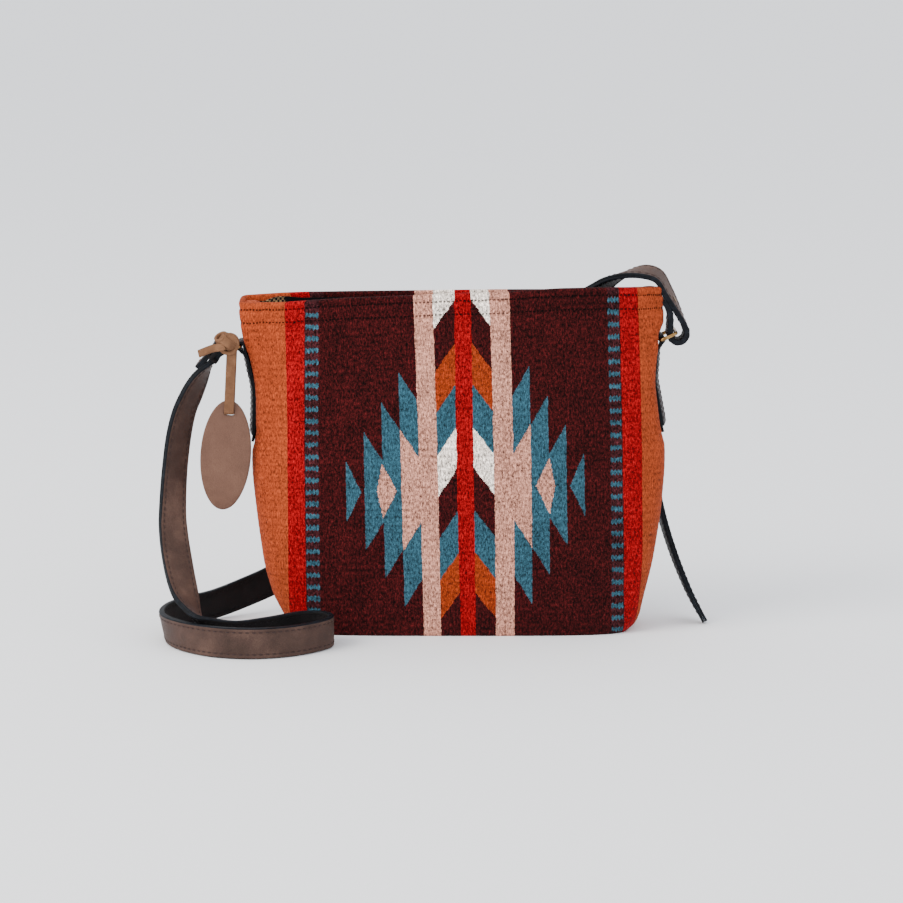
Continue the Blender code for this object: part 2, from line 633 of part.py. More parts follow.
def strap_rivet(finish):
    """A brass rivet: a shank through both strap legs and a flat head on each side."""
    way = rivet_way()
    first, _ = square_to(way)
    inner = STRAP_THICK + 1.7
    outer = inner + RIVET_HEAD_THICK
    profile = [
        (0.0, -outer), (RIVET_HEAD, -outer), (RIVET_HEAD, -inner), (RIVET_SHANK, -inner),
        (RIVET_SHANK, inner), (RIVET_HEAD, inner), (RIVET_HEAD, outer), (0.0, outer),
    ]
    centre = rivet_place()
    shape = bmesh.new()
    corners = [shape.verts.new((centre + radius * first + height * way) * MM) for radius, height in profile]
    edges = [shape.edges.new(pair) for pair in zip(corners, corners[1:])]
    bmesh.ops.spin(
        shape, geom=corners + edges, cent=centre * MM, axis=way, angle=2 * math.pi, steps=12, use_merge=True,
    )
    bmesh.ops.remove_doubles(shape, verts=shape.verts, dist=1e-6)
    return finished("strap_rivet", shape, finish)


def tag_axes():
    """Down the tag, across it and out of its front."""
    tilt = math.radians(TAG_TILT)
    down = np.array([-math.sin(tilt), 0.0, -math.cos(tilt)])
    across = np.array([math.cos(tilt), 0.0, -math.sin(tilt)])
    return down, across, np.array([0.0, -1.0, 0.0])


def knot_place():
    """The knot's middle, just in front of the strap's edge at the left ring."""
    x, y, z = KNOT_FROM_RING
    return ring_outer_bar("left") + np.array([x, y - STRAP_WIDTH / 2, z])


def tag_slot_size():
    """The slot's width and height."""
    return LACE_WIDTH + TAG_SLOT_EASE[0], LACE_THICK + TAG_SLOT_EASE[1]


def tag_slot_place():
    """The slot's middle."""
    return knot_place() + np.array(TAG_FROM_KNOT) + TAG_SLOT_DROP * tag_axes()[0]


def tag_pivot():
    """Where the hanging lace bends, just under the knot."""
    return knot_place() + np.array([TAG_FROM_KNOT[0], 0.0, -KNOT_SIZE[2] - 1.0])


def tag(finish):
    """An oval of thick leather with a slot near its top for the lace."""
    down, across, out = tag_axes()
    middle = knot_place() + np.array(TAG_FROM_KNOT) + TAG_LENGTH / 2 * down
    oval = Matrix.Diagonal((TAG_WIDTH / 2 * MM, TAG_LENGTH / 2 * MM, TAG_THICK * MM, 1.0))
    shape = bmesh.new()
    bmesh.ops.create_cone(
        shape, cap_ends=True, segments=36, radius1=1.0, radius2=1.0, depth=1.0,
        matrix=frame_of(middle, across, down, out) @ oval,
    )
    made = finished("tag", shape, finish, origin=tag_pivot())
    slot = block("tag_slot_cut", tag_slot_place(), across, down, out, (*tag_slot_size(), 8.0))
    boolean(made, slot, "DIFFERENCE")
    return made


def band(name, pairs, place_point, way, half_width, thick):
    """A closed flat band: pairs are its middle line in its own plane, way is across the band."""
    pairs = np.array(pairs, float)
    along = np.roll(pairs, -1, axis=0) - np.roll(pairs, 1, axis=0)
    along /= np.linalg.norm(along, axis=1)[:, None]
    normal = np.column_stack([along[:, 1], -along[:, 0]])
    count = len(pairs)
    vertices = []
    for side, grow in ((-1, -1), (1, -1), (1, 1), (-1, 1)):
        for a, b in pairs + grow * thick / 2 * normal:
            vertices.append(place_point(a, b) + side * half_width * np.array(way))
    faces = []
    for ring in range(4):
        for k in range(count):
            m = (k + 1) % count
            a, b = ring * count + k, ring * count + m
            c, d = ((ring + 1) % 4) * count + m, ((ring + 1) % 4) * count + k
            faces.append((a, b, c, d))
    return place(name, vertices, faces, CUTTER_FINISH, smooth=False)


def tag_lace(finish):
    """One lace: a wrap round the strap's folded end, a knot, a short tail and the loop that holds the tag."""
    middle = knot_place()
    knot = lump("tag_lace", middle, KNOT_SIZE, finish)
    bar = ring_outer_bar("left")
    away, above = LEFT_AWAY, LEFT_ABOVE
    wrap_middle = bar + 11.0 * away
    half_stack = STRAP_THICK + 0.85
    half_across = STRAP_WIDTH / 2 + GAP
    grow = LACE_THICK / 2
    outline = rounded_rectangle(2 * (half_stack + grow), 2 * (half_across + grow), 1.2, 2)
    wrap = band(
        "lace_wrap", outline, lambda a, b: wrap_middle + a * above + np.array([0.0, b, 0.0]),
        away, LACE_WIDTH / 2, LACE_THICK,
    )
    slot_middle = tag_slot_place()
    half_gap = TAG_THICK / 2 + 0.5 + LACE_THICK / 2
    low = slot_middle[2] + tag_slot_size()[1] / 2 - LACE_THICK
    top = middle[2] - 1.5
    loop_pairs = [
        (-half_gap, top), (half_gap, top), (half_gap, low + 1.4),
        (half_gap - 1.2, low), (-half_gap + 1.2, low), (-half_gap, low + 1.4),
    ]
    slope = (middle[0] + 1.4 - slot_middle[0]) / (top - low)
    hanging = band(
        "lace_hanging", loop_pairs,
        lambda a, b: np.array([slot_middle[0] + slope * (b - low), middle[1] + a, b]),
        (1.0, 0.0, 0.0), LACE_WIDTH / 2, LACE_THICK,
    )
    length = np.linalg.norm(LACE_TAIL)
    tail_way = np.array(LACE_TAIL) / length
    tail_across = np.cross((0.0, 1.0, 0.0), tail_way)
    tail_across /= np.linalg.norm(tail_across)
    tail = block(
        "lace_tail", middle + (length / 2) * tail_way, tail_way, tail_across,
        np.cross(tail_way, tail_across), (length, LACE_WIDTH, LACE_THICK + 0.4),
    )
    front = wrap_middle + np.array([0.0, -half_across - 1.3, 0.0])
    reach = np.linalg.norm(middle - front)
    bridge = pin("lace_bridge", (front + middle) / 2, middle - front, 1.5, reach, 8)
    for piece in (wrap, hanging, tail, bridge):
        boolean(knot, piece, "UNION")
    return knot


def lump(name, centre, size, finish):
    """A rounded lump for the knot."""
    scale = Matrix.Diagonal((*(v * MM for v in size), 1.0))
    shape = bmesh.new()
    place_at = Matrix.Translation(Vector(centre) * MM) @ scale
    bmesh.ops.create_uvsphere(shape, u_segments=14, v_segments=7, radius=1.0, matrix=place_at)
    return finished(name, shape, finish)


for stale in list(bpy.data.objects):
    bpy.data.objects.remove(stale, do_unlink=True)

CUTTER_FINISH = material("cutter", (0.5, 0.5, 0.5), 0.8)
WOOL = material("woven wool", (0.10, 0.015, 0.013), 0.95)
LINING_CLOTH = material("checked lining", (0.03, 0.022, 0.018), 0.9)
BROWN_LEATHER = material("brown leather", (0.09, 0.055, 0.045), 0.6)
BLACK_LEATHER = material("black leather", (0.012, 0.009, 0.009), 0.7)
TAN_LEATHER = material("tan leather", (0.25, 0.155, 0.105), 0.7)
BRASS = material("brass", (0.62, 0.44, 0.2), 0.3, 1.0)

woven_body(WOOL)
lining(LINING_CLOTH)
for bag_side in ("left", "right"):
    tab(bag_side, BROWN_LEATHER)
    strap_ring(bag_side, BRASS)
long_strap((BROWN_LEATHER, BLACK_LEATHER))
short_strap((BROWN_LEATHER, BLACK_LEATHER))
buckle_frame(BRASS)
buckle_prong(BRASS)
strap_keeper(BROWN_LEATHER)
strap_rivet(BRASS)
tag_lace(TAN_LEATHER)
tag(TAN_LEATHER)
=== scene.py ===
"""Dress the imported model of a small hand-woven wool crossbody bag for its picture.

The bag stands on its flat base. X runs across the front to the right, Y runs back and Z runs up, with
the origin in the middle of the base. Sizes are in millimetres here and become metres in the meshes.
Each sub-assembly is a class that builds its own surfaces, each worked out as whole numpy arrays, and
each finish is a class that says what the real material is and how its surface was made.
"""
import logging
import math
from dataclasses import dataclass, field
from enum import Enum
from typing import Any, Sequence

import bmesh
import bpy
import numpy as np
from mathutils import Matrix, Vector


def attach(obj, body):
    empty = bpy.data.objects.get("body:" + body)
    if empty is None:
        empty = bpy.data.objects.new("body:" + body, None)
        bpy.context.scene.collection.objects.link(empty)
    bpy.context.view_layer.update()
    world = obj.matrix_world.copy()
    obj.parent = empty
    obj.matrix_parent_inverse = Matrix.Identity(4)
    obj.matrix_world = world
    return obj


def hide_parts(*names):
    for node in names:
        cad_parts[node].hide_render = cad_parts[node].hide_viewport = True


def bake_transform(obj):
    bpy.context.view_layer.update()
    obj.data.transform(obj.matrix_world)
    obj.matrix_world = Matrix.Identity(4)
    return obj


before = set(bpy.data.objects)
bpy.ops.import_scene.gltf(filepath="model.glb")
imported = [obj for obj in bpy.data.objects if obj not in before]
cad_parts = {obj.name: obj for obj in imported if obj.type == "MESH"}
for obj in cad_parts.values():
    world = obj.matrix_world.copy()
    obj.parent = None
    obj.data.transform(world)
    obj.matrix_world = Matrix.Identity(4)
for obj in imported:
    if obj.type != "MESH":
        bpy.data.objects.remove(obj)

LOG = logging.getLogger("bag")
MM = 0.001                      # one millimetre, in metres
MERGE = 1e-6                    # points nearer than this, in metres, become one
BACK = np.array([0.0, 1.0, 0.0])
STITCH_LENGTH = 2.6
THREAD_RADIUS = 0.34
TURN = 2.0 * math.pi


class Side(Enum):
    """The two ends of the bag; the value is the sign of X there."""

    LEFT = -1
    RIGHT = 1

    @property
    def word(self) -> str:
        """The side's name as the pieces use it."""
        return self.name.lower()


class Layer(Enum):
    """The two leathers of the strap; the value is the sign of the way out from the middle."""

    FACE = 1
    BACKING = -1

    @property
    def word(self) -> str:
        """The leather's colour as the pieces' names use it."""
        return "brown" if self is Layer.FACE else "black"


# ---------------------------------------------------------------- colours, nodes and meshes


def linear(code: str) -> tuple[float, float, float, float]:
    """Turn an sRGB hex colour into the linear colour that a node takes.

    Args:
        code: six hex digits, such as "b05130".

    Returns:
        Linear red, green and blue, with an alpha of 1.
    """
    shares = np.array([int(code[k:k + 2], 16) for k in (0, 2, 4)]) / 255.0
    flat = np.where(shares <= 0.04045, shares / 12.92, ((shares + 0.055) / 1.055) ** 2.4)
    return (*map(float, flat), 1.0)


def add_node(
    tree: bpy.types.NodeTree, kind: str, links: dict[Any, Any] | None = None, **settings: Any,
) -> bpy.types.Node:
    """Add one shader node with its settings, values and links.

    Args:
        tree: the material's or world's node tree.
        kind: the node's type without its "ShaderNode" start.
        links: for each input, by name or number, a socket to link from or a plain value.
        settings: the node's own properties.

    Returns:
        The new node.
    """
    node = tree.nodes.new("ShaderNode" + kind)
    for name, value in settings.items():
        setattr(node, name, value)
    for socket, value in (links or {}).items():
        if isinstance(value, bpy.types.NodeSocket):
            tree.links.new(value, node.inputs[socket])
        else:
            node.inputs[socket].default_value = value
    return node


def reckon(tree: bpy.types.NodeTree, operation: str, *values: Any) -> bpy.types.NodeSocket:
    """Work out one sum on sockets and plain numbers, and give the socket with its result."""
    return add_node(tree, "Math", dict(enumerate(values)), operation=operation).outputs[0]


def remapped(tree: bpy.types.NodeTree, *values: Any) -> bpy.types.NodeSocket:
    """Carry a value from one range to another, held at both ends: value, from, from, to, to."""
    return add_node(tree, "MapRange", dict(enumerate(values))).outputs[0]


def blended(tree: bpy.types.NodeTree, share: Any, first: Any, second: Any) -> bpy.types.NodeSocket:
    """Mix two colours by a share, and give the socket with the result."""
    return add_node(tree, "Mix", {"Factor": share, 6: first, 7: second}, data_type="RGBA").outputs[2]


def ramped(
    tree: bpy.types.NodeTree, value: Any, *stops: tuple[float, str], interpolation: str = "LINEAR",
) -> bpy.types.NodeSocket:
    """Colour a value by a ramp.

    Args:
        tree: the material's node tree.
        value: the socket with the value.
        stops: each stop's place and sRGB hex colour.
        interpolation: how the colours meet.

    Returns:
        The socket with the colour.
    """
    node = add_node(tree, "ValToRGB", {0: value})
    node.color_ramp.interpolation = interpolation
    ramp = node.color_ramp.elements
    for index, (place, code) in enumerate(stops):
        stop = ramp.new(place) if index else ramp[0]
        stop.position, stop.color = place, linear(code)
    ramp.remove(ramp[-1])
    return node.outputs[0]


@dataclass
class Patch:
    """One surface given on a grid, or many alike when its points have four axes.

    Attributes:
        points: rows by columns by 3, in millimetres, with an axis in front for many patches.
        run: rows by columns by 2, the surface's own coordinates in millimetres.
        finish: the index of its material on the piece.
    """

    points: np.ndarray
    run: np.ndarray | None = None
    finish: int = 0

    def cells(self, first: int) -> np.ndarray:
        """Number the corners of every cell of the grid.

        Args:
            first: the number of the patch's first point in the piece.

        Returns:
            One row of four point numbers for each cell.
        """
        shape = self.points.shape[:-1]
        index = np.arange(math.prod(shape)).reshape(-1, *shape[-2:]) + first
        around = (index[:, :-1, :-1], index[:, :-1, 1:], index[:, 1:, 1:], index[:, 1:, :-1])
        return np.stack(around, axis=-1).reshape(-1, 4)


def make_piece(
    name: str, patches: Sequence[Patch], finishes: Sequence[bpy.types.Material], sharp: float = 40.0,
) -> bpy.types.Object:
    """Join patches into one closed mesh whose edges meet where their points do.

    Args:
        name: the piece's name.
        patches: its surfaces.
        finishes: its materials, in the order of the patches' finish numbers.
        sharp: the angle in degrees above which an edge is kept sharp.

    Returns:
        The new object, at the origin, with its place in its mesh.
    """
    points, cells, runs, slots, first = [], [], [], [], 0
    for patch in patches:
        cells.append(patch.cells(first))
        points.append(patch.points.reshape(-1, 3))
        run = np.zeros(2) if patch.run is None else patch.run
        runs.append(np.broadcast_to(run, (*patch.points.shape[:-1], 2)).reshape(-1, 2))
        slots.append(np.full(len(cells[-1]), patch.finish))
        first += len(points[-1])
    faces, run = np.concatenate(cells), np.concatenate(runs)
    mesh = bpy.data.meshes.new(name)
    mesh.from_pydata(np.concatenate(points) * MM, [], faces)
    layer = mesh.uv_layers.new(name="run")
    layer.data.foreach_set("uv", (run[faces.ravel()] * MM).astype(np.float32).ravel())
    mesh.polygons.foreach_set("material_index", np.concatenate(slots).astype(np.int32))
    shape = bmesh.new()
    shape.from_mesh(mesh)
    bmesh.ops.remove_doubles(shape, verts=shape.verts, dist=MERGE)
    bmesh.ops.recalc_face_normals(shape, faces=shape.faces)
    shape.to_mesh(mesh)
    shape.free()
    mesh.shade_smooth()
    mesh.set_sharp_from_angle(angle=math.radians(sharp))
    for finish in finishes:
        mesh.materials.append(finish)
    piece = bpy.data.objects.new(name, mesh)
    bpy.context.scene.collection.objects.link(piece)
    return piece


def settle(piece: bpy.types.Object, body: str, node: str) -> bpy.types.Object:
    """Put a piece on its body and hide the CAD node that it stands for.

    Args:
        piece: the new piece.
        body: the body that it rides on.
        node: the CAD node that it replaces.

    Returns:
        The same piece.
    """
    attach(piece, body)
    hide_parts(node)
    LOG.info("%s: %d faces, rides on %s", piece.name, len(piece.data.polygons), body)
    return piece


def unit(values: Any) -> np.ndarray:
    """Scale vectors on the last axis to length 1."""
    values = np.asarray(values, float)
    return values / np.linalg.norm(values, axis=-1, keepdims=True)


def ease(values: np.ndarray, low: float, high: float) -> np.ndarray:
    """Rise smoothly from 0 at low to 1 at high, as 3t squared less 2t cubed."""
    share = np.clip((values - low) / (high - low), 0.0, 1.0)
    return share * share * (3.0 - 2.0 * share)


def closed(values: np.ndarray, axis: int) -> np.ndarray:
    """Repeat the first slice at the end, so that a grid comes round to its start."""
    return np.concatenate([values, np.take(values, [0], axis=axis)], axis=axis)


def arc(radius: float, degrees: Sequence[float] | np.ndarray) -> np.ndarray:
    """Points round the origin: the radius times the cosine and sine of each angle."""
    turn = np.radians(np.asarray(degrees, float))
    return radius * np.column_stack([np.cos(turn), np.sin(turn)])


def circle(radius: float) -> np.ndarray:
    """Sixteen points round a circle, as the outline of a wire."""
    return arc(radius, np.arange(-90.0, 270.0, 22.5))


def ball(rows: int) -> np.ndarray:
    """A grid of points on a ball of radius 1, by the cosines and sines of its latitude and longitude."""
    lat = np.linspace(-math.pi / 2, math.pi / 2, rows)[:, None]
    lon = np.linspace(0.0, TURN, 33)
    return np.stack([np.cos(lat) * np.cos(lon), np.cos(lat) * np.sin(lon), np.sin(lat) + 0.0 * lon], axis=-1)


def rounded_rectangle(length: float, width: float, corner: float, steps: int, parts: int) -> np.ndarray:
    """Points round a rectangle whose corners are arcs.

    Args:
        length: its size along the first axis.
        width: its size along the second axis.
        corner: the corners' radius.
        steps: arcs' parts for each corner.
        parts: parts for each straight side.

    Returns:
        One row of two numbers for each point, counter-clockwise.
    """
    degrees = np.concatenate([start + np.linspace(0.0, 90.0, steps + 1) for start in (0, 90, 180, 270)])
    corners = np.repeat([(1, 1), (-1, 1), (-1, -1), (1, -1)], steps + 1, axis=0)
    points = corners * (length / 2 - corner, width / 2 - corner) + arc(corner, degrees)
    share = np.linspace(0.0, 1.0, parts, endpoint=False)[:, None]
    after = np.roll(points, -1, axis=0)
    long = np.linalg.norm(after - points, axis=1) > 2.0 * corner * math.radians(90.0) / steps
    sides = zip(points, after, long)
    return np.concatenate([a + share * (b - a) if split else a[None] for a, b, split in sides])


def hoop(line: np.ndarray, widths: np.ndarray, outline: np.ndarray) -> Patch:
    """Carry a closed outline round a closed line.

    A point is the line's point plus the outline's first number along the width, made square to the
    line, plus its second number along the way that is square to both.

    Args:
        line: the closed line's points.
        widths: the way of the outline's first number, one for all points or one for each.
        outline: the outline's points.

    Returns:
        The surface.
    """
    ahead = unit(np.roll(line, -1, axis=0) - np.roll(line, 1, axis=0))
    across = unit(widths - np.sum(widths * ahead, axis=1)[:, None] * ahead)
    ring = closed(outline, 0)
    grid = line[:, None] + ring[:, :1] * across[:, None] + ring[:, 1:] * np.cross(across, ahead)[:, None]
    return Patch(closed(grid, 0))


def tapered_wire(line: np.ndarray, radius: float, reach: np.ndarray) -> list[Patch]:
    """Carry a circle along an open line and round its two ends.

    Each ring is the line's point plus the radius times the cosine and sine of the turn along two
    directions square to the line.

    Args:
        line: the middle line, which bends in one plane.
        radius: the wire's radius.
        reach: the share of the radius at each point.

    Returns:
        The wall and its two rounded ends.
    """
    along = unit(np.gradient(line, axis=0))
    guide = unit(np.cross(along[0], along[len(along) // 4]))
    first = unit(guide - (along @ guide)[:, None] * along)
    second = np.cross(along, first)
    turn = np.linspace(0.0, TURN, 13)
    rings = np.cos(turn)[:, None] * first[:, None] + np.sin(turn)[:, None] * second[:, None]
    size = radius * reach[:, None, None]
    dome = np.linspace(0.0, math.pi / 2, 5)[:, None, None]
    ends = [
        Patch(line[row] + size[row] * (np.cos(dome) * rings[row] + sign * 0.7 * np.sin(dome) * along[row]))
        for row, sign in ((0, -1.0), (-1, 1.0))
    ]
    return [Patch(line[:, None] + size * rings), *ends]


# ---------------------------------------------------------------- finishes


@dataclass(frozen=True)
class Finish:
    """What every finish has: its name, and a way to start its node tree."""

    name: str

    def begin(
        self, roughness: float, **values: Any,
    ) -> tuple[bpy.types.Material, bpy.types.NodeTree, bpy.types.Node]:
        """Make the material and set the shader's own values.

        Args:
            roughness: how rough its surface is.
            values: other inputs of the shader, with spaces written as underscores.

        Returns:
            The material, its node tree and its shader.
        """
        made = bpy.data.materials.new(self.name)
        made.use_nodes = True
        shader = made.node_tree.nodes["Principled BSDF"]
        shader.inputs["Roughness"].default_value = roughness
        for key, value in values.items():
            shader.inputs[key.replace("_", " ")].default_value = value
        return made, made.node_tree, shader

    @staticmethod
    def cover(shader: bpy.types.Node, colour: Any, relief: Any, distance: float, strength: float) -> None:
        """Link the colour and the surface's fine relief to the shader.

        Args:
            shader: the material's shader.
            colour: the socket with the colour.
            relief: the socket with the relief's height.
            distance: how high the relief is, in metres.
            strength: the share of it to show.
        """
        tree = shader.id_data
        bump = add_node(tree, "Bump", {"Height": relief, "Distance": distance, "Strength": strength})
        tree.links.new(colour, shader.inputs["Base Color"])
        tree.links.new(bump.outputs[0], shader.inputs["Normal"])


@dataclass(frozen=True)
class HandWovenWool(Finish):
    """Hand-spun wool, dyed and woven weft-faced on a floor loom, so only the weft shows.

    Each weft thread shows as beads that pass over the thick warps, which lie level as ribs. Colours meet
    along threads, so edges have small steps, and hand dyeing leaves each bead a little lighter or darker.
    """

    name: str = "hand-woven wool"
    maroon: str = "33090a"
    orange: str = "9c4020"
    red: str = "8b030b"
    teal: str = "2d515f"
    white: str = "f6e8da"
    beige: str = "bf8572"
    feather_orange: str = "8e3213"
    ground: str = "341417"
    rib: float = 204.0 / 45     # from warp to warp
    thread: float = 1.25        # from weft to weft
    scatter: float = 0.7        # the most that a bead's own height is moved by

    def make(self) -> bpy.types.Material:
        """Build the striped cloth on its own run in millimetres.

        The run's first number is the place across the cloth from the pattern's middle, and its second
        the height up the cloth. Every motif is a test on these two.

        Returns:
            The material.
        """
        made, tree, shader = self.begin(0.92, Sheen_Weight=0.02, Sheen_Roughness=0.5, Specular_IOR_Level=0.08)
        run = add_node(tree, "UVMap", uv_map="run")
        scaled = add_node(tree, "VectorMath", {0: run.outputs[0], "Scale": 1000.0}, operation="SCALE")
        # The threads wander by up to about 1 mm
        values = {"Vector": scaled.outputs[0], "Scale": 0.16, "Detail": 4.0, "Roughness": 0.7}
        wander = add_node(tree, "TexNoise", values).outputs["Color"]
        values = {0: wander, 1: (1.7, 2.0, 0.0), 2: (-0.85, -1.0, 0.0)}
        drift = add_node(tree, "VectorMath", values, operation="MULTIPLY_ADD")
        place = add_node(tree, "VectorMath", {0: scaled.outputs[0], 1: drift.outputs[0]}, operation="ADD")
        parts = add_node(tree, "SeparateXYZ", {0: place.outputs[0]})
        across, up = parts.outputs[0], parts.outputs[1]
        # The bead that shows: wefts move over by half a thread from rib to rib
        rib = reckon(tree, "DIVIDE", up, self.rib)
        rib_number = reckon(tree, "FLOOR", rib)
        thread = reckon(tree, "DIVIDE", across, self.thread)
        moved = reckon(tree, "MULTIPLY_ADD", rib_number, 0.5, thread)
        bead_number = reckon(tree, "FLOOR", moved)
        cell = add_node(tree, "CombineXYZ", {0: bead_number, 1: rib_number})
        chance = add_node(tree, "TexWhiteNoise", {"Vector": cell.outputs[0]}, noise_dimensions="2D")
        # Colours meet along threads, so a slanting edge goes up in small steps
        step = reckon(tree, "SNAP", across, self.thread / 2)
        away = reckon(tree, "ABSOLUTE", reckon(tree, "ADD", step, self.thread / 4))
        height = reckon(tree, "MULTIPLY_ADD", chance.outputs[0], self.scatter, up)
        # The pattern lies a little lower at the left, by 0.95 less 0.95 times the hyperbolic tangent
        lean = reckon(tree, "TANH", reckon(tree, "DIVIDE", across, 40.0))
        lean = reckon(tree, "MULTIPLY_ADD", lean, -0.95, 0.95)
        height = reckon(tree, "ADD", height, lean)
        colour = self.stripes(tree, away, height, across)
        # Heather: flecks of lighter and darker fibre, longer up the threads, with slower changes of dye lot
        fibres = []
        for stretch, detail, roughness in (((0.95, 0.5, 1.0), 1.5, 0.6), ((2.3, 1.25, 1.0), 2.0, 0.7)):
            drawn = add_node(tree, "VectorMath", {0: place.outputs[0], 1: stretch}, operation="MULTIPLY")
            values = {"Vector": drawn.outputs[0], "Scale": 1.0, "Detail": detail, "Roughness": roughness}
            fibres.append(add_node(tree, "TexNoise", values))
        fleck, hair = fibres
        lot = add_node(tree, "TexNoise", {"Vector": scaled.outputs[0], "Scale": 0.06, "Detail": 2.0})
        light = reckon(tree, "MULTIPLY_ADD", fleck.outputs[0], 2.7, -1.83)
        for part, share in ((hair, 2.1), (lot, 0.55), (chance, 0.28)):
            light = reckon(tree, "MULTIPLY_ADD", part.outputs[0], share, light)
        light = reckon(tree, "MAXIMUM", light, 0.12)
        # Dark dyes show their heather most, then pale ones; the right-hand side is darkened as painted shade,
        # standing for light that falls from the left
        tone = add_node(tree, "RGBToBW", {0: colour}).outputs[0]
        depth = remapped(tree, tone, 0.01, 0.09, 2.2, 0.95)
        pale = remapped(tree, tone, 0.15, 0.35, 0.0, 0.6)
        depth = reckon(tree, "ADD", depth, pale)
        light = reckon(tree, "POWER", light, depth)
        # Painted shade: the cloth darkens from left to right, as if lit from the left
        painted_side_shade = remapped(tree, across, -110.0, 110.0, 1.04, 0.88)
        light = reckon(tree, "MULTIPLY", light, painted_side_shade)
        # Beads and ribs: painted shade where two meet, and a faint painted highlight on their crests
        bead = reckon(tree, "ABSOLUTE", reckon(tree, "SINE", reckon(tree, "MULTIPLY", moved, math.pi)))
        ridge = reckon(tree, "ABSOLUTE", reckon(tree, "SINE", reckon(tree, "MULTIPLY", rib, math.pi)))
        crest = reckon(tree, "MULTIPLY", bead, ridge)
        painted_shade_and_heather = remapped(tree, crest, 0.0, 0.6, 0.8, 1.06)
        # Painted shade in the needle pricks of the rim's stitch rows; the same mask dips the relief
        prick_shade = self.painted_prick_shade(tree, across, up)
        painted_shade_and_heather = reckon(tree, "MULTIPLY", painted_shade_and_heather, light)
        painted_shade_and_heather = reckon(tree, "MULTIPLY", painted_shade_and_heather, prick_shade)
        # The colour is scaled by painted shade in the grooves, in the needle pricks and toward the right, and
        # by the heather
        final = add_node(tree, "VectorMath", {0: colour, "Scale": painted_shade_and_heather}, operation="SCALE")
        relief = reckon(tree, "MULTIPLY_ADD", hair.outputs[0], 0.7, fleck.outputs[0])
        relief = reckon(tree, "MULTIPLY_ADD", crest, 0.35, relief)
        relief = reckon(tree, "MULTIPLY_ADD", prick_shade, 0.6, relief)
        self.cover(shader, final.outputs[0], relief, 0.0007, 0.8)
        return made

    def stripes(self, tree: bpy.types.NodeTree, away: Any, height: Any, across: Any) -> Any:
        """Colour the cloth: stripes, slanted feather bands, tick rows and half diamonds with saw edges.

        Args:
            tree: the material's node tree.
            away: the distance from the pattern's middle.
            height: the height up the cloth.
            across: the place across the cloth, not stepped.

        Returns:
            The socket with the colour.
        """
        # Where each stripe begins, from the pattern's middle
        span = 150.0
        begins = (
            (0.0, self.red), (14.0, self.beige), (27.9, self.maroon),
            (85.9, self.ground), (93.9, self.red), (105.4, self.orange),
        )
        stops = ((place / span, code) for place, code in begins)
        zone = ramped(tree, reckon(tree, "DIVIDE", away, span), *stops, interpolation="CONSTANT")
        # Feathers: bands 24.7 high, ten to the ramp, that fall 16.2 from their inner to their outer edge
        ten = 247.0
        slant = reckon(tree, "MULTIPLY_ADD", away, -16.2 / 11.8 / ten, 0.1 + 208.7 / ten)
        band = reckon(tree, "MULTIPLY_ADD", height, -1.0 / ten, slant)
        order = (
            self.white, self.maroon, self.feather_orange, self.teal, self.white,
            self.maroon, self.teal, self.feather_orange, self.maroon,
        )
        stops = ((0.1 * k, code) for k, code in enumerate(order))
        feathers = ramped(tree, band, *stops, interpolation="CONSTANT")
        in_feathers = reckon(tree, "COMPARE", away, 11.1, 5.9)
        colour = blended(tree, in_feathers, zone, feathers)
        # Ticks: 7 apart at the rim and about 7.4 at the base, each a bar with teeth 2.1 apart
        below = reckon(tree, "SUBTRACT", 196.9 + self.scatter / 2, height)
        spread = reckon(tree, "MULTIPLY_ADD", below, -0.00013, 1.0)
        from_tick = reckon(tree, "MULTIPLY", below, spread)
        from_tick = reckon(tree, "PINGPONG", from_tick, 3.5)
        tooth = reckon(tree, "PINGPONG", across, 1.05)
        reach = reckon(tree, "MULTIPLY_ADD", tooth, 1.0, 0.75)
        tick = reckon(tree, "LESS_THAN", from_tick, reach)
        below = reckon(tree, "LESS_THAN", height, 199.5)
        in_ticks = reckon(tree, "COMPARE", away, 90.0, 4.0)
        tick = reckon(tree, "MULTIPLY", tick, in_ticks)
        tick = reckon(tree, "MULTIPLY", tick, below)
        # Half diamonds: columns 10.6 wide whose upper edges rise 17.2 and then drop back by 34.6
        column = reckon(tree, "DIVIDE", reckon(tree, "SUBTRACT", away, 28.0), 10.6)
        share = reckon(tree, "FRACT", column)
        falls = reckon(tree, "MULTIPLY_ADD", column, -17.4, 53.0)
        top = reckon(tree, "MULTIPLY_ADD", share, 34.6, falls)
        from_level = reckon(tree, "ABSOLUTE", reckon(tree, "SUBTRACT", height, 90.5 + self.scatter / 2))
        teal = reckon(tree, "LESS_THAN", from_level, top)
        in_teal = reckon(tree, "COMPARE", column, 1.5, 1.5)
        teal = reckon(tree, "MULTIPLY", teal, in_teal)
        teal = reckon(tree, "MAXIMUM", teal, tick)
        # The outermost triangle stands free, and ends 42.6 from the beige stripe
        island = reckon(tree, "MULTIPLY_ADD", away, 2.1, -2.1 * 61.8)
        island = reckon(tree, "LESS_THAN", from_level, island)
        inside = reckon(tree, "LESS_THAN", away, 70.6)
        island = reckon(tree, "MULTIPLY", island, inside)
        teal = reckon(tree, "MAXIMUM", teal, island)
        colour = blended(tree, teal, colour, linear(self.teal))
        core = reckon(tree, "MULTIPLY_ADD", share, 17.2, 19.1)
        core = reckon(tree, "LESS_THAN", from_level, core)
        in_core = reckon(tree, "COMPARE", column, 0.5, 0.5)
        core = reckon(tree, "MULTIPLY", core, in_core)
        # The small diamond: its inner edges rise 2 to 1, and its outer edges fall 5 to 1
        inner = reckon(tree, "MULTIPLY_ADD", away, 2.0, -2.0 * 41.4)
        outer = reckon(tree, "MULTIPLY_ADD", away, -5.0, 5.0 * 52.9)
        gem = reckon(tree, "MINIMUM", inner, outer)
        gem = reckon(tree, "LESS_THAN", from_level, gem)
        pale = reckon(tree, "MAXIMUM", core, gem)
        return blended(tree, pale, colour, linear(self.beige))

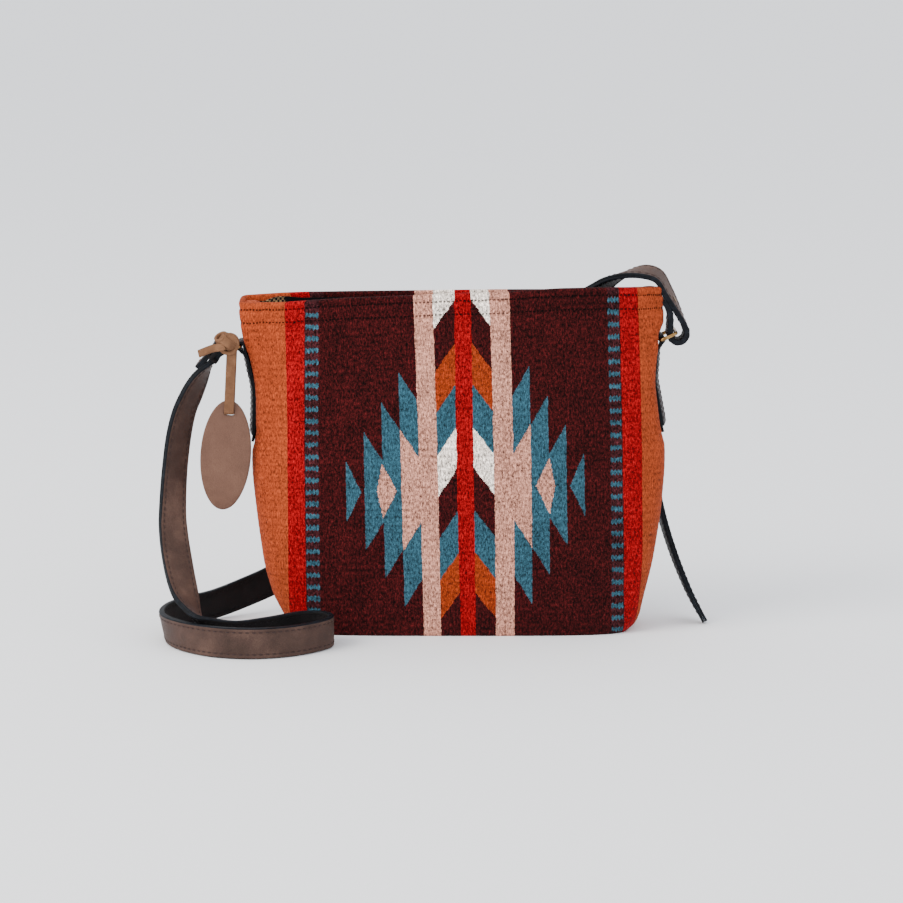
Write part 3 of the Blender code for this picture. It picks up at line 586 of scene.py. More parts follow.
    def painted_prick_shade(self, tree: bpy.types.NodeTree, across: Any, up: Any) -> Any:
        """Paint shade into the needle pricks of the two machine-sewn rows under the rim.

        Args:
            tree: the material's node tree.
            across: the place across the cloth.
            up: the height up the cloth.

        Returns:
            The socket with 1 on plain cloth, falling to 0.2 in a prick.
        """
        rows = (reckon(tree, "COMPARE", up, row, 0.5) for row in WovenBody.stitch_rows)
        either = reckon(tree, "MAXIMUM", *rows)
        prick = reckon(tree, "GREATER_THAN", reckon(tree, "PINGPONG", across, 1.15), 0.45)
        # The pricks are painted shade: dark dots where the needle went through
        dark = reckon(tree, "MULTIPLY", either, prick)
        return reckon(tree, "MULTIPLY_ADD", dark, -0.8, 1.0)


@dataclass(frozen=True)
class CheckedCotton(Finish):
    """Plain-woven cotton in a small dyed check, with a near-black painted shadow along the mouth between its
    ends, where the nearly closed mouth keeps the light out.
    """

    name: str = "checked cotton lining"
    dark: str = "0f1116"
    light: str = "ad8a60"
    check: float = 1.6
    painted_shadow: str = "08090c"
    painted_shadow_half_length: float = 0.111     # in metres on the cloth
    painted_shadow_foot: float = 0.19             # its lower edge's height up the cloth, in metres

    def make(self) -> bpy.types.Material:
        """Build a check of dark and light squares with a fine plain weave, and the painted shadow along the
        mouth.

        Returns:
            The material.
        """
        made, tree, shader = self.begin(0.9, Specular_IOR_Level=0.12)
        run = add_node(tree, "UVMap", uv_map="run")
        values = {"Vector": run.outputs[0], "Scale": 1000.0 / self.check}
        values |= {"Color1": linear(self.dark), "Color2": linear(self.light)}
        checks = add_node(tree, "TexChecker", values)
        uneven = add_node(tree, "TexNoise", {"Vector": run.outputs[0], "Scale": 300.0, "Detail": 2.0})
        share = remapped(tree, uneven.outputs[0], 0.35, 0.65, 0.25, 1.0)
        toned = blended(tree, share, linear(self.dark), checks.outputs[0])
        # Painted shadow: the cloth turns near-black high up between the mouth's ends
        place = add_node(tree, "SeparateXYZ", {0: run.outputs[0]})
        between = reckon(tree, "LESS_THAN", reckon(tree, "ABSOLUTE", place.outputs[0]), self.painted_shadow_half_length)
        high = reckon(tree, "GREATER_THAN", place.outputs[1], self.painted_shadow_foot)
        in_painted_shadow = reckon(tree, "MULTIPLY", between, high)
        toned = blended(tree, in_painted_shadow, toned, linear(self.painted_shadow))
        weave = add_node(tree, "TexWave", {"Vector": run.outputs[0], "Scale": 500.0, "Distortion": 1.0})
        self.cover(shader, toned, weave.outputs["Fac"], 0.0002, 0.5)
        return made


@dataclass(frozen=True)
class Leather(Finish):
    """Vegetable-tanned cowhide: drum dyed, waxed and cut, with its pores and handling marks left showing."""

    dark: str = "34251f"
    middle: str = "47342d"
    light: str = "5f483e"
    roughness: float = 0.55
    grain: float = 0.55         # from pore to pore
    depth: float = 0.12
    cloud: float = 20.0         # size of the dye's clouds
    # The colour of the painted shade inside the punched holes
    painted_hole_shade: str = "0a0808"
    holes: bool = False

    def make(self) -> bpy.types.Material:
        """Build clouded dye, pores and light scuffs on Object coordinates.

        Returns:
            The material.
        """
        made, tree, shader = self.begin(self.roughness, Specular_IOR_Level=0.16)
        where = add_node(tree, "TexCoord").outputs["Object"]
        values = {"Vector": where, "Scale": 1000.0 / self.cloud, "Detail": 5.0, "Roughness": 0.6}
        clouds = add_node(tree, "TexNoise", values)
        values = {"Vector": where, "Scale": 1000.0 / self.grain, "Randomness": 1.0}
        pores = add_node(tree, "TexVoronoi", values, feature="DISTANCE_TO_EDGE")
        fine = add_node(tree, "TexNoise", {"Vector": where, "Scale": 1600.0, "Detail": 3.0})
        mixed = reckon(tree, "MULTIPLY_ADD", fine.outputs[0], 0.35, clouds.outputs[0])
        colour = ramped(tree, mixed, (0.42, self.dark), (0.66, self.middle), (0.9, self.light))
        relief = remapped(tree, pores.outputs["Distance"], 0.0, 0.18, 0.0, 1.0)
        relief = reckon(tree, "MULTIPLY_ADD", fine.outputs[0], 0.7, relief)
        # The punched holes are painted shade: dark discs in place of cut holes
        if self.holes:
            painted_hole_shade = self.punched(tree)
            colour = blended(tree, painted_hole_shade, colour, linear(self.painted_hole_shade))
            relief = reckon(tree, "MULTIPLY_ADD", painted_hole_shade, -8.0, relief)
        shine = remapped(tree, clouds.outputs[0], 0.3, 0.7, self.roughness - 0.08, self.roughness + 0.1)
        tree.links.new(shine, shader.inputs["Roughness"])
        self.cover(shader, colour, relief, self.depth * MM, 0.7)
        return made

    def punched(self, tree: bpy.types.NodeTree) -> Any:
        """Mark the punched adjusting holes, 22 apart along the strap's run; each is a dark disc of painted
        shade with a dip in the relief.

        Args:
            tree: the material's node tree.

        Returns:
            The socket with 1 inside a hole.
        """
        run = add_node(tree, "UVMap", uv_map="run")
        scaled = add_node(tree, "VectorMath", {0: run.outputs[0], "Scale": 1000.0}, operation="SCALE")
        parts = add_node(tree, "SeparateXYZ", {0: scaled.outputs[0]})
        along = reckon(tree, "PINGPONG", parts.outputs[1], 11.0)
        spot = add_node(tree, "CombineXYZ", {0: parts.outputs[0], 1: along})
        far = add_node(tree, "VectorMath", {0: spot.outputs[0]}, operation="LENGTH").outputs[1]
        inside = reckon(tree, "LESS_THAN", far, 1.5)
        near = reckon(tree, "COMPARE", parts.outputs[1], 0.0, 50.0)
        return reckon(tree, "MULTIPLY", inside, near)


@dataclass(frozen=True)
class EdgePaint(Finish):
    """Acrylic edge paint, brushed on cut leather in two coats; smooth, slightly domed and satin."""

    name: str = "painted leather edge"
    dark: str = "0a0c0f"
    middle: str = "111419"
    light: str = "1c2128"

    def make(self) -> bpy.types.Material:
        """Build a dark satin coat with slow unevenness.

        Returns:
            The material.
        """
        made, tree, shader = self.begin(0.55, Specular_IOR_Level=0.1)
        where = add_node(tree, "TexCoord").outputs["Object"]
        coat = add_node(tree, "TexNoise", {"Vector": where, "Scale": 420.0, "Detail": 3.0})
        tone = ramped(tree, coat.outputs[0], (0.3, self.dark), (0.55, self.middle), (0.8, self.light))
        self.cover(shader, tone, coat.outputs[0], 0.0002, 0.5)
        return made


@dataclass(frozen=True)
class WaxedThread(Finish):
    """Twisted and waxed polyester sewing thread; the twist shows as slanting ridges."""

    name: str = "waxed thread"
    dark: str = "271c1b"
    light: str = "3d2c29"

    def make(self) -> bpy.types.Material:
        """Build a twisted thread on Object coordinates.

        Returns:
            The material.
        """
        made, tree, shader = self.begin(0.6, Specular_IOR_Level=0.2)
        where = add_node(tree, "TexCoord").outputs["Object"]
        values = {"Vector": where, "Scale": 900.0, "Distortion": 2.0}
        twist = add_node(tree, "TexWave", values, bands_direction="DIAGONAL")
        tone = ramped(tree, twist.outputs["Fac"], (0.1, self.dark), (0.8, self.light))
        self.cover(shader, tone, twist.outputs["Fac"], 0.0001, 0.6)
        return made


@dataclass(frozen=True)
class AgedBrass(Finish):
    """Drawn brass wire, bent and brazed, tumbled to a satin and browned with age in its hollows."""

    name: str = "aged brass"
    dark: str = "584026"
    middle: str = "8a6a40"
    light: str = "b3925e"

    def make(self) -> bpy.types.Material:
        """Build satin brass with brown clouds and fine wear.

        Returns:
            The material.
        """
        made, tree, shader = self.begin(0.3, Metallic=1.0)
        where = add_node(tree, "TexCoord").outputs["Object"]
        age = add_node(tree, "TexNoise", {"Vector": where, "Scale": 260.0, "Detail": 4.0, "Roughness": 0.65})
        tone = ramped(tree, age.outputs[0], (0.32, self.dark), (0.5, self.middle), (0.72, self.light))
        wear = remapped(tree, age.outputs[0], 0.3, 0.7, 0.42, 0.22)
        tree.links.new(wear, shader.inputs["Roughness"])
        self.cover(shader, tone, age.outputs[0], 0.0001, 0.3)
        return made


@dataclass(frozen=True)
class FloorPaper(Finish):
    """Pale seamless studio paper; evenly matte."""

    name: str = "pale studio paper"
    colour: str = "fafbfd"

    def make(self) -> bpy.types.Material:
        """Build an even matte surface.

        Returns:
            The material.
        """
        made, _, shader = self.begin(0.95, Specular_IOR_Level=0.1)
        shader.inputs["Base Color"].default_value = linear(self.colour)
        return made


class Finishes:
    """Every finish on the bag, made once."""

    def __init__(self) -> None:
        """Make the materials."""
        self.wool = HandWovenWool().make()
        self.lining = CheckedCotton().make()
        self.brown = Leather("waxed brown leather").make()
        self.brown_punched = Leather("waxed brown leather, punched", holes=True).make()
        split = {"roughness": 0.65, "cloud": 9.0}
        self.black = Leather("black split leather", "080606", "0f0b0c", "1a1415", **split).make()
        self.tab = Leather("dark brown leather", "151113", "211a1b", "34292b").make()
        nubuck = {"roughness": 0.78, "grain": 0.4, "depth": 0.08, "cloud": 7.0}
        self.lace = Leather("tan nubuck lace", "5a3d29", "6d4b34", "835d43", **nubuck).make()
        tooling = {"roughness": 0.7, "grain": 0.7, "cloud": 26.0}
        self.tag = Leather("tan tooling leather", "593f34", "684b3e", "765748", **tooling).make()
        self.edge = EdgePaint().make()
        self.thread = WaxedThread().make()
        self.brass = AgedBrass().make()


@dataclass
class Assembly:
    """One sub-assembly, which holds the bag's finishes."""

    finishes: Finishes


# ---------------------------------------------------------------- the woven body


@dataclass
class WovenBody(Assembly):
    """The folded and sewn cloth: an open bag with a flat, boxed base and a hemmed rim.

    A row of the grid is a flat-sided oval: across is the half width times the 2/p power of the turn's
    cosine, deep is the half depth times the same power of its sine, and p rises from 4.5 to 10.5 where
    the sides are flat beside the tabs. A column is one place across the cloth, so the stripes' edges
    lean with the threads.
    """

    height: float = 204.0
    width: float = 251.6
    rim_rise: float = 9.0
    wall: float = 3.5
    power: float = 4.5
    seam: float = 148.0         # the side seams' place across the cloth
    spacing: float = 1.5        # between columns
    ribs: int = 45
    rib_relief: float = 0.13
    stitch_rows = (199.4, 191.6)
    ring_limit: float = 116.8   # how far out the cloth may reach beside the right ring
    stripes_share: float = 0.9  # the stripes keep their X up to this share of the half width
    level_height: tuple[float, ...] = (
        0.0, 3.5, 10.0, 22.0, 40.0, 70.0, 96.0, 111.0, 122.0, 148.0, 170.0, 184.0, 204.0,
    )
    level_width: tuple[float, ...] = (
        97.0, 103.5, 108.0, 112.5, 117.5, 121.8, 124.2, 123.8, 120.3, 117.3, 120.2, 125.0, 125.8,
    )
    level_shift: tuple[float, ...] = (
        0.0, 0.0, 0.0, -0.8, -1.5, -1.7, -2.0, -2.2, -2.4, -4.5, -6.2, -6.5, -6.8,
    )
    # The soft cloth's own outline, which stands out at the corners beside the tabs
    soft_height: tuple[float, ...] = (
        0.0, 3.5, 10.0, 22.0, 40.0, 70.0, 96.0, 111.0, 122.0, 135.0, 148.0, 162.0, 172.0, 182.0, 193.0, 204.0,
    )
    soft_width: tuple[float, ...] = (
        98.5, 104.3, 108.0, 112.5, 117.2, 121.6, 124.0, 124.2,
        122.4, 120.1, 119.1, 120.6, 123.2, 125.8, 126.2, 125.8,
    )
    soft_depth: tuple[float, ...] = (
        28.0, 29.4, 29.8, 29.8, 29.5, 28.2, 25.8, 24.2, 22.8, 20.8, 18.8, 16.3, 14.7, 13.3, 11.9, 10.8,
    )
    soft_shift: tuple[float, ...] = (
        1.0, 0.7, 0.1, -1.6, -2.0, -1.6, -1.9, -2.1, -2.3, -3.1, -3.9, -4.2, -4.3, -5.2, -6.3, -6.8,
    )
    # The soft rim: places across the bag, and its rise there
    front_rim = (
        (-126.0, -106.0, -70.0, -29.0, 0.0, 28.0, 58.0, 88.0, 112.0),
        (-0.6, -1.0, 0.4, 0.5, 0.9, 0.7, 1.6, 1.2, 0.2),
    )
    back_rim = (
        (-126.0, -107.0, -94.0, -70.0, -31.0, 20.0, 60.0, 112.0),
        (2.2, 2.7, 2.7, 2.2, 1.2, 0.0, -1.4, -1.6),
    )
    middle_level: float = 112.5 / 205.0     # the edge table's middle height, as a share
    # Where each stripe's edge lies on the front: its place across the cloth, then its X at the rim, at the
    # middle level and at the base
    edges: tuple[tuple[float, float, float, float], ...] = (
        (-105.5, -105.6, -103.8, -104.5), (-94.0, -93.1, -93.3, -92.5), (-86.0, -84.8, -85.0, -84.0),
        (-28.0, -29.0, -25.5, -22.5), (-17.0, -17.8, -14.8, -12.5), (-5.2, -4.7, -3.5, -0.5),
        (5.2, 5.4, 7.0, 8.5), (17.0, 16.2, 19.0, 20.5), (28.0, 28.0, 30.4, 31.4),
        (86.0, 85.8, 88.0, 89.7), (94.0, 92.8, 95.2, 97.3), (105.5, 104.5, 107.6, 108.0),
    )

    def smooth_level(self, table: Sequence[float], up: np.ndarray) -> np.ndarray:
        """Read one of the soft cloth's tables with its corners smoothed.

        The table is joined by straight lines and blurred by a bell curve, 2 mm wide at the base's round
        edge and 8 mm wide above it.

        Args:
            table: one value for each of the soft heights.
            up: heights in millimetres.

        Returns:
            The value at each height.
        """
        fine = np.arange(-40.0, self.height + 40.5, 0.5)
        values = np.interp(fine, self.soft_height, table)
        slope = (table[-1] - table[-2]) / (self.soft_height[-1] - self.soft_height[-2])
        values = np.where(fine > self.height, table[-1] + slope * (fine - self.height), values)
        blurred = []
        for spread in (1.6, 5.0):
            bell = np.exp(-0.5 * (np.arange(-64, 65) * 0.5 / spread) ** 2)
            blurred.append(np.convolve(values, bell / bell.sum(), "same"))
        share = ease(fine, 8.0, 45.0)
        return np.interp(up, fine, (1.0 - share) * blurred[0] + share * blurred[1])

    def sizes(self, up: np.ndarray) -> tuple[np.ndarray, np.ndarray, np.ndarray]:
        """Half width, half depth and sideways shift at heights."""
        tables = (self.soft_width, self.soft_depth, self.soft_shift)
        return tuple(self.smooth_level(table, up) for table in tables)

    def powers(self, up: np.ndarray) -> np.ndarray:
        """The oval's power at heights: squarer where the sides are flat beside the tabs."""
        return self.power + 6.0 * ease(up, 122.0, 150.0)

    def tucked(self, points: np.ndarray, level: np.ndarray, inset: np.ndarray) -> np.ndarray:
        """Draw the middle of each side in where its tab lies flat, and the right side in at its ring.

        A point past the limit moves back to it, by a share that falls from 1 to 0 away from the tab.

        Args:
            points: the grid's points before the tilt.
            level: their heights up the cloth.
            inset: how far in from the outer cloth each row is.

        Returns:
            The points with the sides drawn in.
        """
        x, y = points[..., 0], np.abs(points[..., 1])
        side = np.sign(x)
        past = np.maximum(0.0, side * x + inset[:, None] - self.side_reach(side, level))
        at_tab = ease(level, 108.0, 118.0) * (1.0 - ease(level, 176.0, 184.0))
        beside_tab = (1.0 - ease(y, 9.2, 12.4)) * at_tab
        past_ring = np.maximum(0.0, side * x + inset[:, None] - self.ring_limit)
        near_ring = (1.0 - ease(y, 12.3, 13.6)) * (1.0 - ease(np.abs(level - 172.8), 3.0, 8.0)) * (x > 0.0)
        move = np.maximum(past * beside_tab, past_ring * near_ring)
        return points - np.stack([side * move, 0.0 * y], axis=-1)

    def side_reach(self, sign: Any, up: Any) -> Any:
        """How far out the CAD cloth lies at the middle of the side with this sign of X, at heights."""
        width = np.interp(up, self.level_height, self.level_width)
        return width + sign * np.interp(up, self.level_height, self.level_shift)

    def gusset_x(self, side: Side, z: float) -> float:
        """Where the CAD cloth lies at the middle of a side, for the tabs, from the plain level table."""
        up = z / (self.height + side.value * self.rim_rise / 2) * self.height
        return side.value * float(self.side_reach(side.value, up))

    def columns(self) -> np.ndarray:
        """Places across the cloth, from the left seam to the right seam."""
        return np.linspace(-self.seam, self.seam, int(2 * self.seam / self.spacing) + 1)

    def front_line(self, up: np.ndarray) -> tuple[np.ndarray, np.ndarray]:
        """Place every column on the front half of each row's oval.

        Between the outermost stripe edges a column's X comes from the edge table, bent through its three
        heights by a parabola. Past them the columns share out the rest of the oval's length to the seam.

        Args:
            up: the rows' heights.

        Returns:
            X from the oval's middle and the depth toward the viewer, as shares of the half sizes.
        """
        places = self.columns()
        half_width, half_depth, shift = self.sizes(up)
        table = np.array(self.edges)
        level = (up / self.height)[:, None]
        low, middle, high = table[:, 3], table[:, 2], table[:, 1]
        t, peak = level / self.middle_level, 1.0 / self.middle_level
        curve = low + (middle - low) * t * (peak - t) / (peak - 1.0)
        curve = curve + (high - low) * t * (t - 1.0) / (peak * (peak - 1.0))
        x = np.stack([np.interp(places, table[:, 0], row) for row in curve]) - shift[:, None]
        x_share = x / half_width[:, None]
        # Past that share they ease toward 0.09 more, by a hyperbolic tangent
        over = np.maximum(np.abs(x_share) - self.stripes_share, 0.0)
        eased = self.stripes_share + 0.09 * np.tanh(over / 0.09)
        x_share = np.sign(x_share) * np.where(over > 0.0, eased, np.abs(x_share))
        y_share = np.zeros_like(x_share)
        power = self.powers(up)[:, None]
        first_in = int(np.searchsorted(places, table[0, 0]))
        outside = {-1: places < table[0, 0], 1: places > table[-1, 0]}
        for sign in (-1, 1):
            share = np.abs(x_share[:, first_in] if sign < 0 else x_share[:, len(places) - 1 - first_in])
            start = np.arccos(share ** (power[:, 0] / 2))
            dense = start[:, None] * (1.0 - np.linspace(0.0, 1.0, 241)) ** 6
            dense_x, dense_y = np.cos(dense) ** (2 / power), np.abs(np.sin(dense)) ** (2 / power)
            steps = np.hypot(np.diff(dense_x) * half_width[:, None], np.diff(dense_y) * half_depth[:, None])
            length = np.concatenate([np.zeros((len(up), 1)), np.cumsum(steps, axis=1)], axis=1)
            past = np.abs(places[outside[sign]])
            begin = abs(places[first_in])
            share = (past - begin) / (self.seam - begin)
            for row in range(len(up)):
                at = share * length[row, -1]
                x_share[row, outside[sign]] = sign * np.interp(at, length[row], dense_x[row])
                y_share[row, outside[sign]] = np.interp(at, length[row], dense_y[row])
        inside = ~(outside[-1] | outside[1])
        held = np.abs(np.clip(x_share[:, inside], -0.999, 0.999))
        y_share[:, inside] = (1.0 - held ** power) ** (1 / power)
        return x_share, y_share

    def cloth(
        self, up: np.ndarray, back: bool, inset: np.ndarray | float, relief: float = 1.0,
    ) -> tuple[np.ndarray, np.ndarray]:
        """Lay the cloth's grid on the front or the back.

        Each point is the oval's, set in by the inset, raised by the rim's tilt, and moved out along the
        oval by ribs (the sine of the height over the rib), soft waves, the hem's roll and stitch grooves.

        Args:
            up: the rows' heights.
            back: whether this is the back half.
            inset: how far in from the outer cloth, one number or one for each row.
            relief: the share of the relief to use.

        Returns:
            The grid's points, and its run with the height up the cloth.
        """
        inset = np.broadcast_to(inset, up.shape)
        half_width, half_depth, shift = self.sizes(up)
        x_share, y_share = self.front_line(up)
        places = np.broadcast_to(self.columns(), x_share.shape)
        turn = -1.0 if not back else 1.0
        level = np.broadcast_to(up[:, None], x_share.shape)
        x = (half_width - inset)[:, None] * x_share
        y = turn * (half_depth - inset)[:, None] * y_share
        bump = self.relief(places, level, back) * relief
        lean = self.power - 1.0
        way_x = np.sign(x_share) * np.abs(x_share) ** lean / half_width[:, None]
        way = unit(np.stack([way_x, turn * y_share ** lean / half_depth[:, None]], axis=-1))
        x = x + shift[:, None] + bump * way[..., 0]
        y = y + bump * way[..., 1]
        drawn = self.tucked(np.stack([x, y], axis=-1), level, inset)
        x, y = drawn[..., 0], drawn[..., 1]
        tilt = self.rim_rise * np.clip(level / self.height, 0.0, 1.0) * x / self.width
        z = level + tilt + self.rim_line(x, places, back) * np.clip(level / self.height, 0.0, 1.0) ** 5
        return np.stack([x, y, z], axis=-1), np.stack([places, level], axis=-1)

    def rim_line(self, x: np.ndarray, places: np.ndarray, back: bool) -> np.ndarray:
        """How far the soft rim stands above or below its straight line, read from the front picture.

        Args:
            x: places across the bag.
            places: places across the cloth; front and back meet at the side seams.
            back: whether this is the back rim, which stands a little proud at the left.

        Returns:
            The rise in millimetres.
        """
        rise = np.interp(x, *(self.back_rim if back else self.front_rim))
        at_seam = ease(np.abs(places), self.seam - 13.0, self.seam)
        return (1.0 - at_seam) * rise + at_seam * np.where(places < 0.0, 1.0, -0.8)

    def relief(self, places: np.ndarray, level: np.ndarray, back: bool) -> np.ndarray:
        """Ribs, soft waves, hem roll and stitch grooves, as a move out from the oval.

        Args:
            places: places across the cloth.
            level: heights.
            back: whether this is the back half.

        Returns:
            The move in millimetres.
        """
        late = 1.9 if back else 0.0
        # 0.64 is the mean of the sine without its sign, so the ribs lie half in and half out
        rib = self.rib_relief * (np.abs(np.sin(math.pi * level * self.ribs / self.height)) - 0.64)
        wave = (
            0.55 * np.sin(places / 15.5 + 0.6 * np.sin(level / 31.0) + 1.1 + late)
            + 0.40 * np.sin(places / 7.3 - level / 26.0 + 0.4 + 2 * late)
            + 0.45 * np.sin(level / 10.5 + places / 41.0 + late)
        )
        calm = ease(level, 0.0, 22.0) * (1.0 - 0.55 * ease(level, 160.0, 196.0))
        calm = calm * (1.0 - ease(np.abs(places), 106.0, 145.0))
        hem = 0.5 * np.exp(-(((level - 196.8) / 3.0) ** 2)) + 0.5 * np.exp(-(((level - 203.2) / 2.0) ** 2))
        groove = sum(0.75 * np.exp(-(((level - row) / 0.95) ** 2)) for row in self.stitch_rows)
        side_seam = 0.9 * np.exp(-(((np.abs(places) - self.seam) / 1.8) ** 2))
        return rib + 0.75 * wave * calm + hem - groove - side_seam * (1.0 - ease(level, 196.0, 203.0))

    def seam_allowance(self, side: Side) -> Patch:
        """The turned-in cloth that fills the mouth's very end: an egg just under the rim.

        Args:
            side: the end of the bag.

        Returns:
            The patch, in the cloth's outer colour.
        """
        sign = side.value
        x = sign * self.soft_width[-1] + self.soft_shift[-1] - sign * 7.0
        z = self.height + self.rim_rise * x / self.width - 3.4
        egg = ball(15)
        points = np.array([x, 0.0, z]) + np.sign(egg) * np.abs(egg) ** 0.8 * (6.0, 7.6, 3.0)
        return Patch(points, (sign * 128.0, 180.0) + egg[..., :2] * (6.0, 7.6))

    def build(self) -> bpy.types.Object:
        """Make the cloth: outside, rolled rim, inner wall, base and inner floor.

        Returns:
            The piece.
        """
        lip = self.wall / 2
        rows = np.linspace(0.0, self.height - lip, self.ribs * 4 + 1)
        roll = np.linspace(0.0, math.pi, 8)
        patches = []
        floors = {"outer": [], "inner": []}
        for back in (False, True):
            points, run = self.cloth(rows, back, 0.0)
            patches.append(Patch(points, run))
            level = self.height - lip + 0.0 * roll
            around, around_run = self.cloth(level, back, lip * (1.0 - np.cos(roll)), 1.0)
            fade = ((1.0 + np.cos(roll)) / 2)[:, None]
            plain, _ = self.cloth(level, back, lip * (1.0 - np.cos(roll)), 0.0)
            around = fade[..., None] * around + (1.0 - fade[..., None]) * plain
            around[..., 2] += lip * np.sin(roll)[:, None]
            around_run[..., 1] += lip * roll[:, None]
            patches.append(Patch(around, around_run))
            down = np.concatenate([[self.height - lip], np.linspace(self.height - lip - 2.0, self.wall, 22)])
            inner, inner_run = self.cloth(down, back, self.wall, 0.0)
            patches.append(Patch(inner, inner_run))
            floors["outer"].append((points[0], run[0]))
            floors["inner"].append((inner[-1], inner_run[-1]))
        for name, parts in (("outer", 13), ("inner", 8)):
            (front, front_run), (rear, _) = floors[name]
            share = np.linspace(0.0, 1.0, parts)[:, None, None]
            flat = front + share * (rear - front)
            distance = np.linalg.norm(flat - front, axis=-1)
            across = np.broadcast_to(front_run[:, 0], distance.shape)
            patches.append(Patch(flat, np.stack([across, front_run[:, 1] - distance], axis=-1)))
        patches += [self.seam_allowance(side) for side in Side]
        piece = make_piece("woven_cloth", patches, [self.finishes.wool], sharp=75.0)
        return settle(piece, "bag", "woven_body")


@dataclass
class Lining(Assembly):
    """The thin checked cloth inside, sewn in under the rim."""

    body: WovenBody
    clear: float = 0.5
    thick: float = 0.8
    drop: float = 1.9

    def build(self) -> bpy.types.Object:
        """Make a thin closed shell just inside the woven wall.

        Returns:
            The piece.
        """
        body = self.body
        outside = body.wall + self.clear
        rows = np.linspace(body.height - self.drop, body.wall + self.clear, 44)
        patches, floors = [], {}
        for back in (False, True):
            grids = []
            for inset in (outside, outside + self.thick):
                points, run = body.cloth(rows, back, inset, 0.0)
                points, run = points[:, ::3], run[:, ::3]
                # Its top edge sits lower at the side seams, and past the mouth's open left end
                lower = 1.4 * ease(points[..., 0], -108.0, -94.0)
                lower = lower + 2.4 * ease(np.abs(run[..., 0]), 117.0, 127.0)
                points[..., 2] -= lower * ease(run[..., 1], 150.0, 200.0)
                ripple = 0.3 * np.sin(run[..., 0] / 4.1 + 0.5 * np.sin(run[..., 1] / 9.0))
                free = ease(run[..., 1], 8.0, 30.0) * ease(body.seam - np.abs(run[..., 0]), 0.0, 25.0)
                points[..., 1] += ripple * free * (-0.5 if back else 0.5)
                grids.append((points, run))
                patches.append(Patch(points, run))
                floors.setdefault(inset, []).append(points[-1])
            rim = np.stack([grids[0][0][0], grids[1][0][0]])
            patches.append(Patch(rim, np.stack([grids[0][1][0], grids[1][1][0]])))
        for (front, rear), lift in zip(floors.values(), (0.0, self.thick)):
            share = np.linspace(0.0, 1.0, 7)[:, None, None]
            floor = front + share * (rear - front) + np.array([0.0, 0.0, lift]) * np.sin(share * math.pi)
            patches.append(Patch(floor, floor[..., :2]))
        piece = make_piece("lining_cloth", patches, [self.finishes.lining])
        return settle(piece, "bag", "lining")


# ---------------------------------------------------------------- routes


@dataclass
class Route:
    """A smooth line with a width direction: the middle line of a strap or lace.

    Attributes:
        points: the line, in millimetres.
        widths: unit vectors across the strap, at the points.
        outward: unit vectors out of its brown side.
        lengths: the distance along the line at each point.
    """

    points: np.ndarray
    widths: np.ndarray
    outward: np.ndarray
    lengths: np.ndarray

    @classmethod
    def through(cls, stations: Sequence[tuple[Sequence[float], Sequence[float]]], step: float) -> "Route":
        """Run a smooth curve through stations.

        Between two stations the point is the mean of four neighbours weighted by the uniform
        Catmull-Rom cubic, and so is the width direction, which is then made square to the line.

        Args:
            stations: each a point and the way across the strap there.
            step: the longest distance between points.

        Returns:
            The route.
        """
        points = np.array([station[0] for station in stations], float)
        ways = unit([station[1] for station in stations])
        ends = [np.vstack([2 * v[0] - v[1], v, 2 * v[-1] - v[-2]]) for v in (points, ways)]
        line, widths = [], []
        for span in range(len(points) - 1):
            parts = max(2, math.ceil(np.linalg.norm(points[span + 1] - points[span]) / step))
            t = np.arange(parts + (span == len(points) - 2))[:, None] / parts
            cubes = (-t + 2 * t**2 - t**3, 2 - 5 * t**2 + 3 * t**3, t + 4 * t**2 - 3 * t**3, -(t**2) + t**3)
            weights = np.hstack(cubes) / 2
            line.append(weights @ ends[0][span:span + 4])
            widths.append(weights @ ends[1][span:span + 4])
        return cls.along(np.concatenate(line), np.concatenate(widths))

    @classmethod
    def along(cls, points: np.ndarray, widths: np.ndarray) -> "Route":
        """Make a route from points and rough width directions."""
        ahead = unit(np.gradient(points, axis=0))
        widths = unit(widths - np.sum(widths * ahead, axis=1)[:, None] * ahead)
        steps = np.linalg.norm(np.diff(points, axis=0), axis=1)
        return cls(points, widths, np.cross(widths, ahead), np.concatenate([[0.0], np.cumsum(steps)]))

    @property
    def length(self) -> float:
        """The whole length in millimetres."""
        return float(self.lengths[-1])

    def part(self, start: float, end: float) -> "Route":
        """Cut out the stretch between two distances, with points at both.

        Args:
            start: the distance where it begins.
            end: the distance where it ends.

        Returns:
            The shorter route.
        """
        keep = self.lengths[(self.lengths > start + 0.05) & (self.lengths < end - 0.05)]
        where = np.concatenate([[start], keep, [end]])
        return Route.along(*self.read(where, self.points, self.widths))

    def read(self, where: np.ndarray, *values: np.ndarray) -> list[np.ndarray]:
        """Read vectors that are given at the route's points at other distances along it."""
        return [np.stack([np.interp(where, self.lengths, v[:, k]) for k in range(3)], axis=1) for v in values]

    def nearest(self, point: np.ndarray) -> float:
        """The distance along the route where it passes nearest a point."""
        return float(self.lengths[np.argmin(np.linalg.norm(self.points - point, axis=1))])


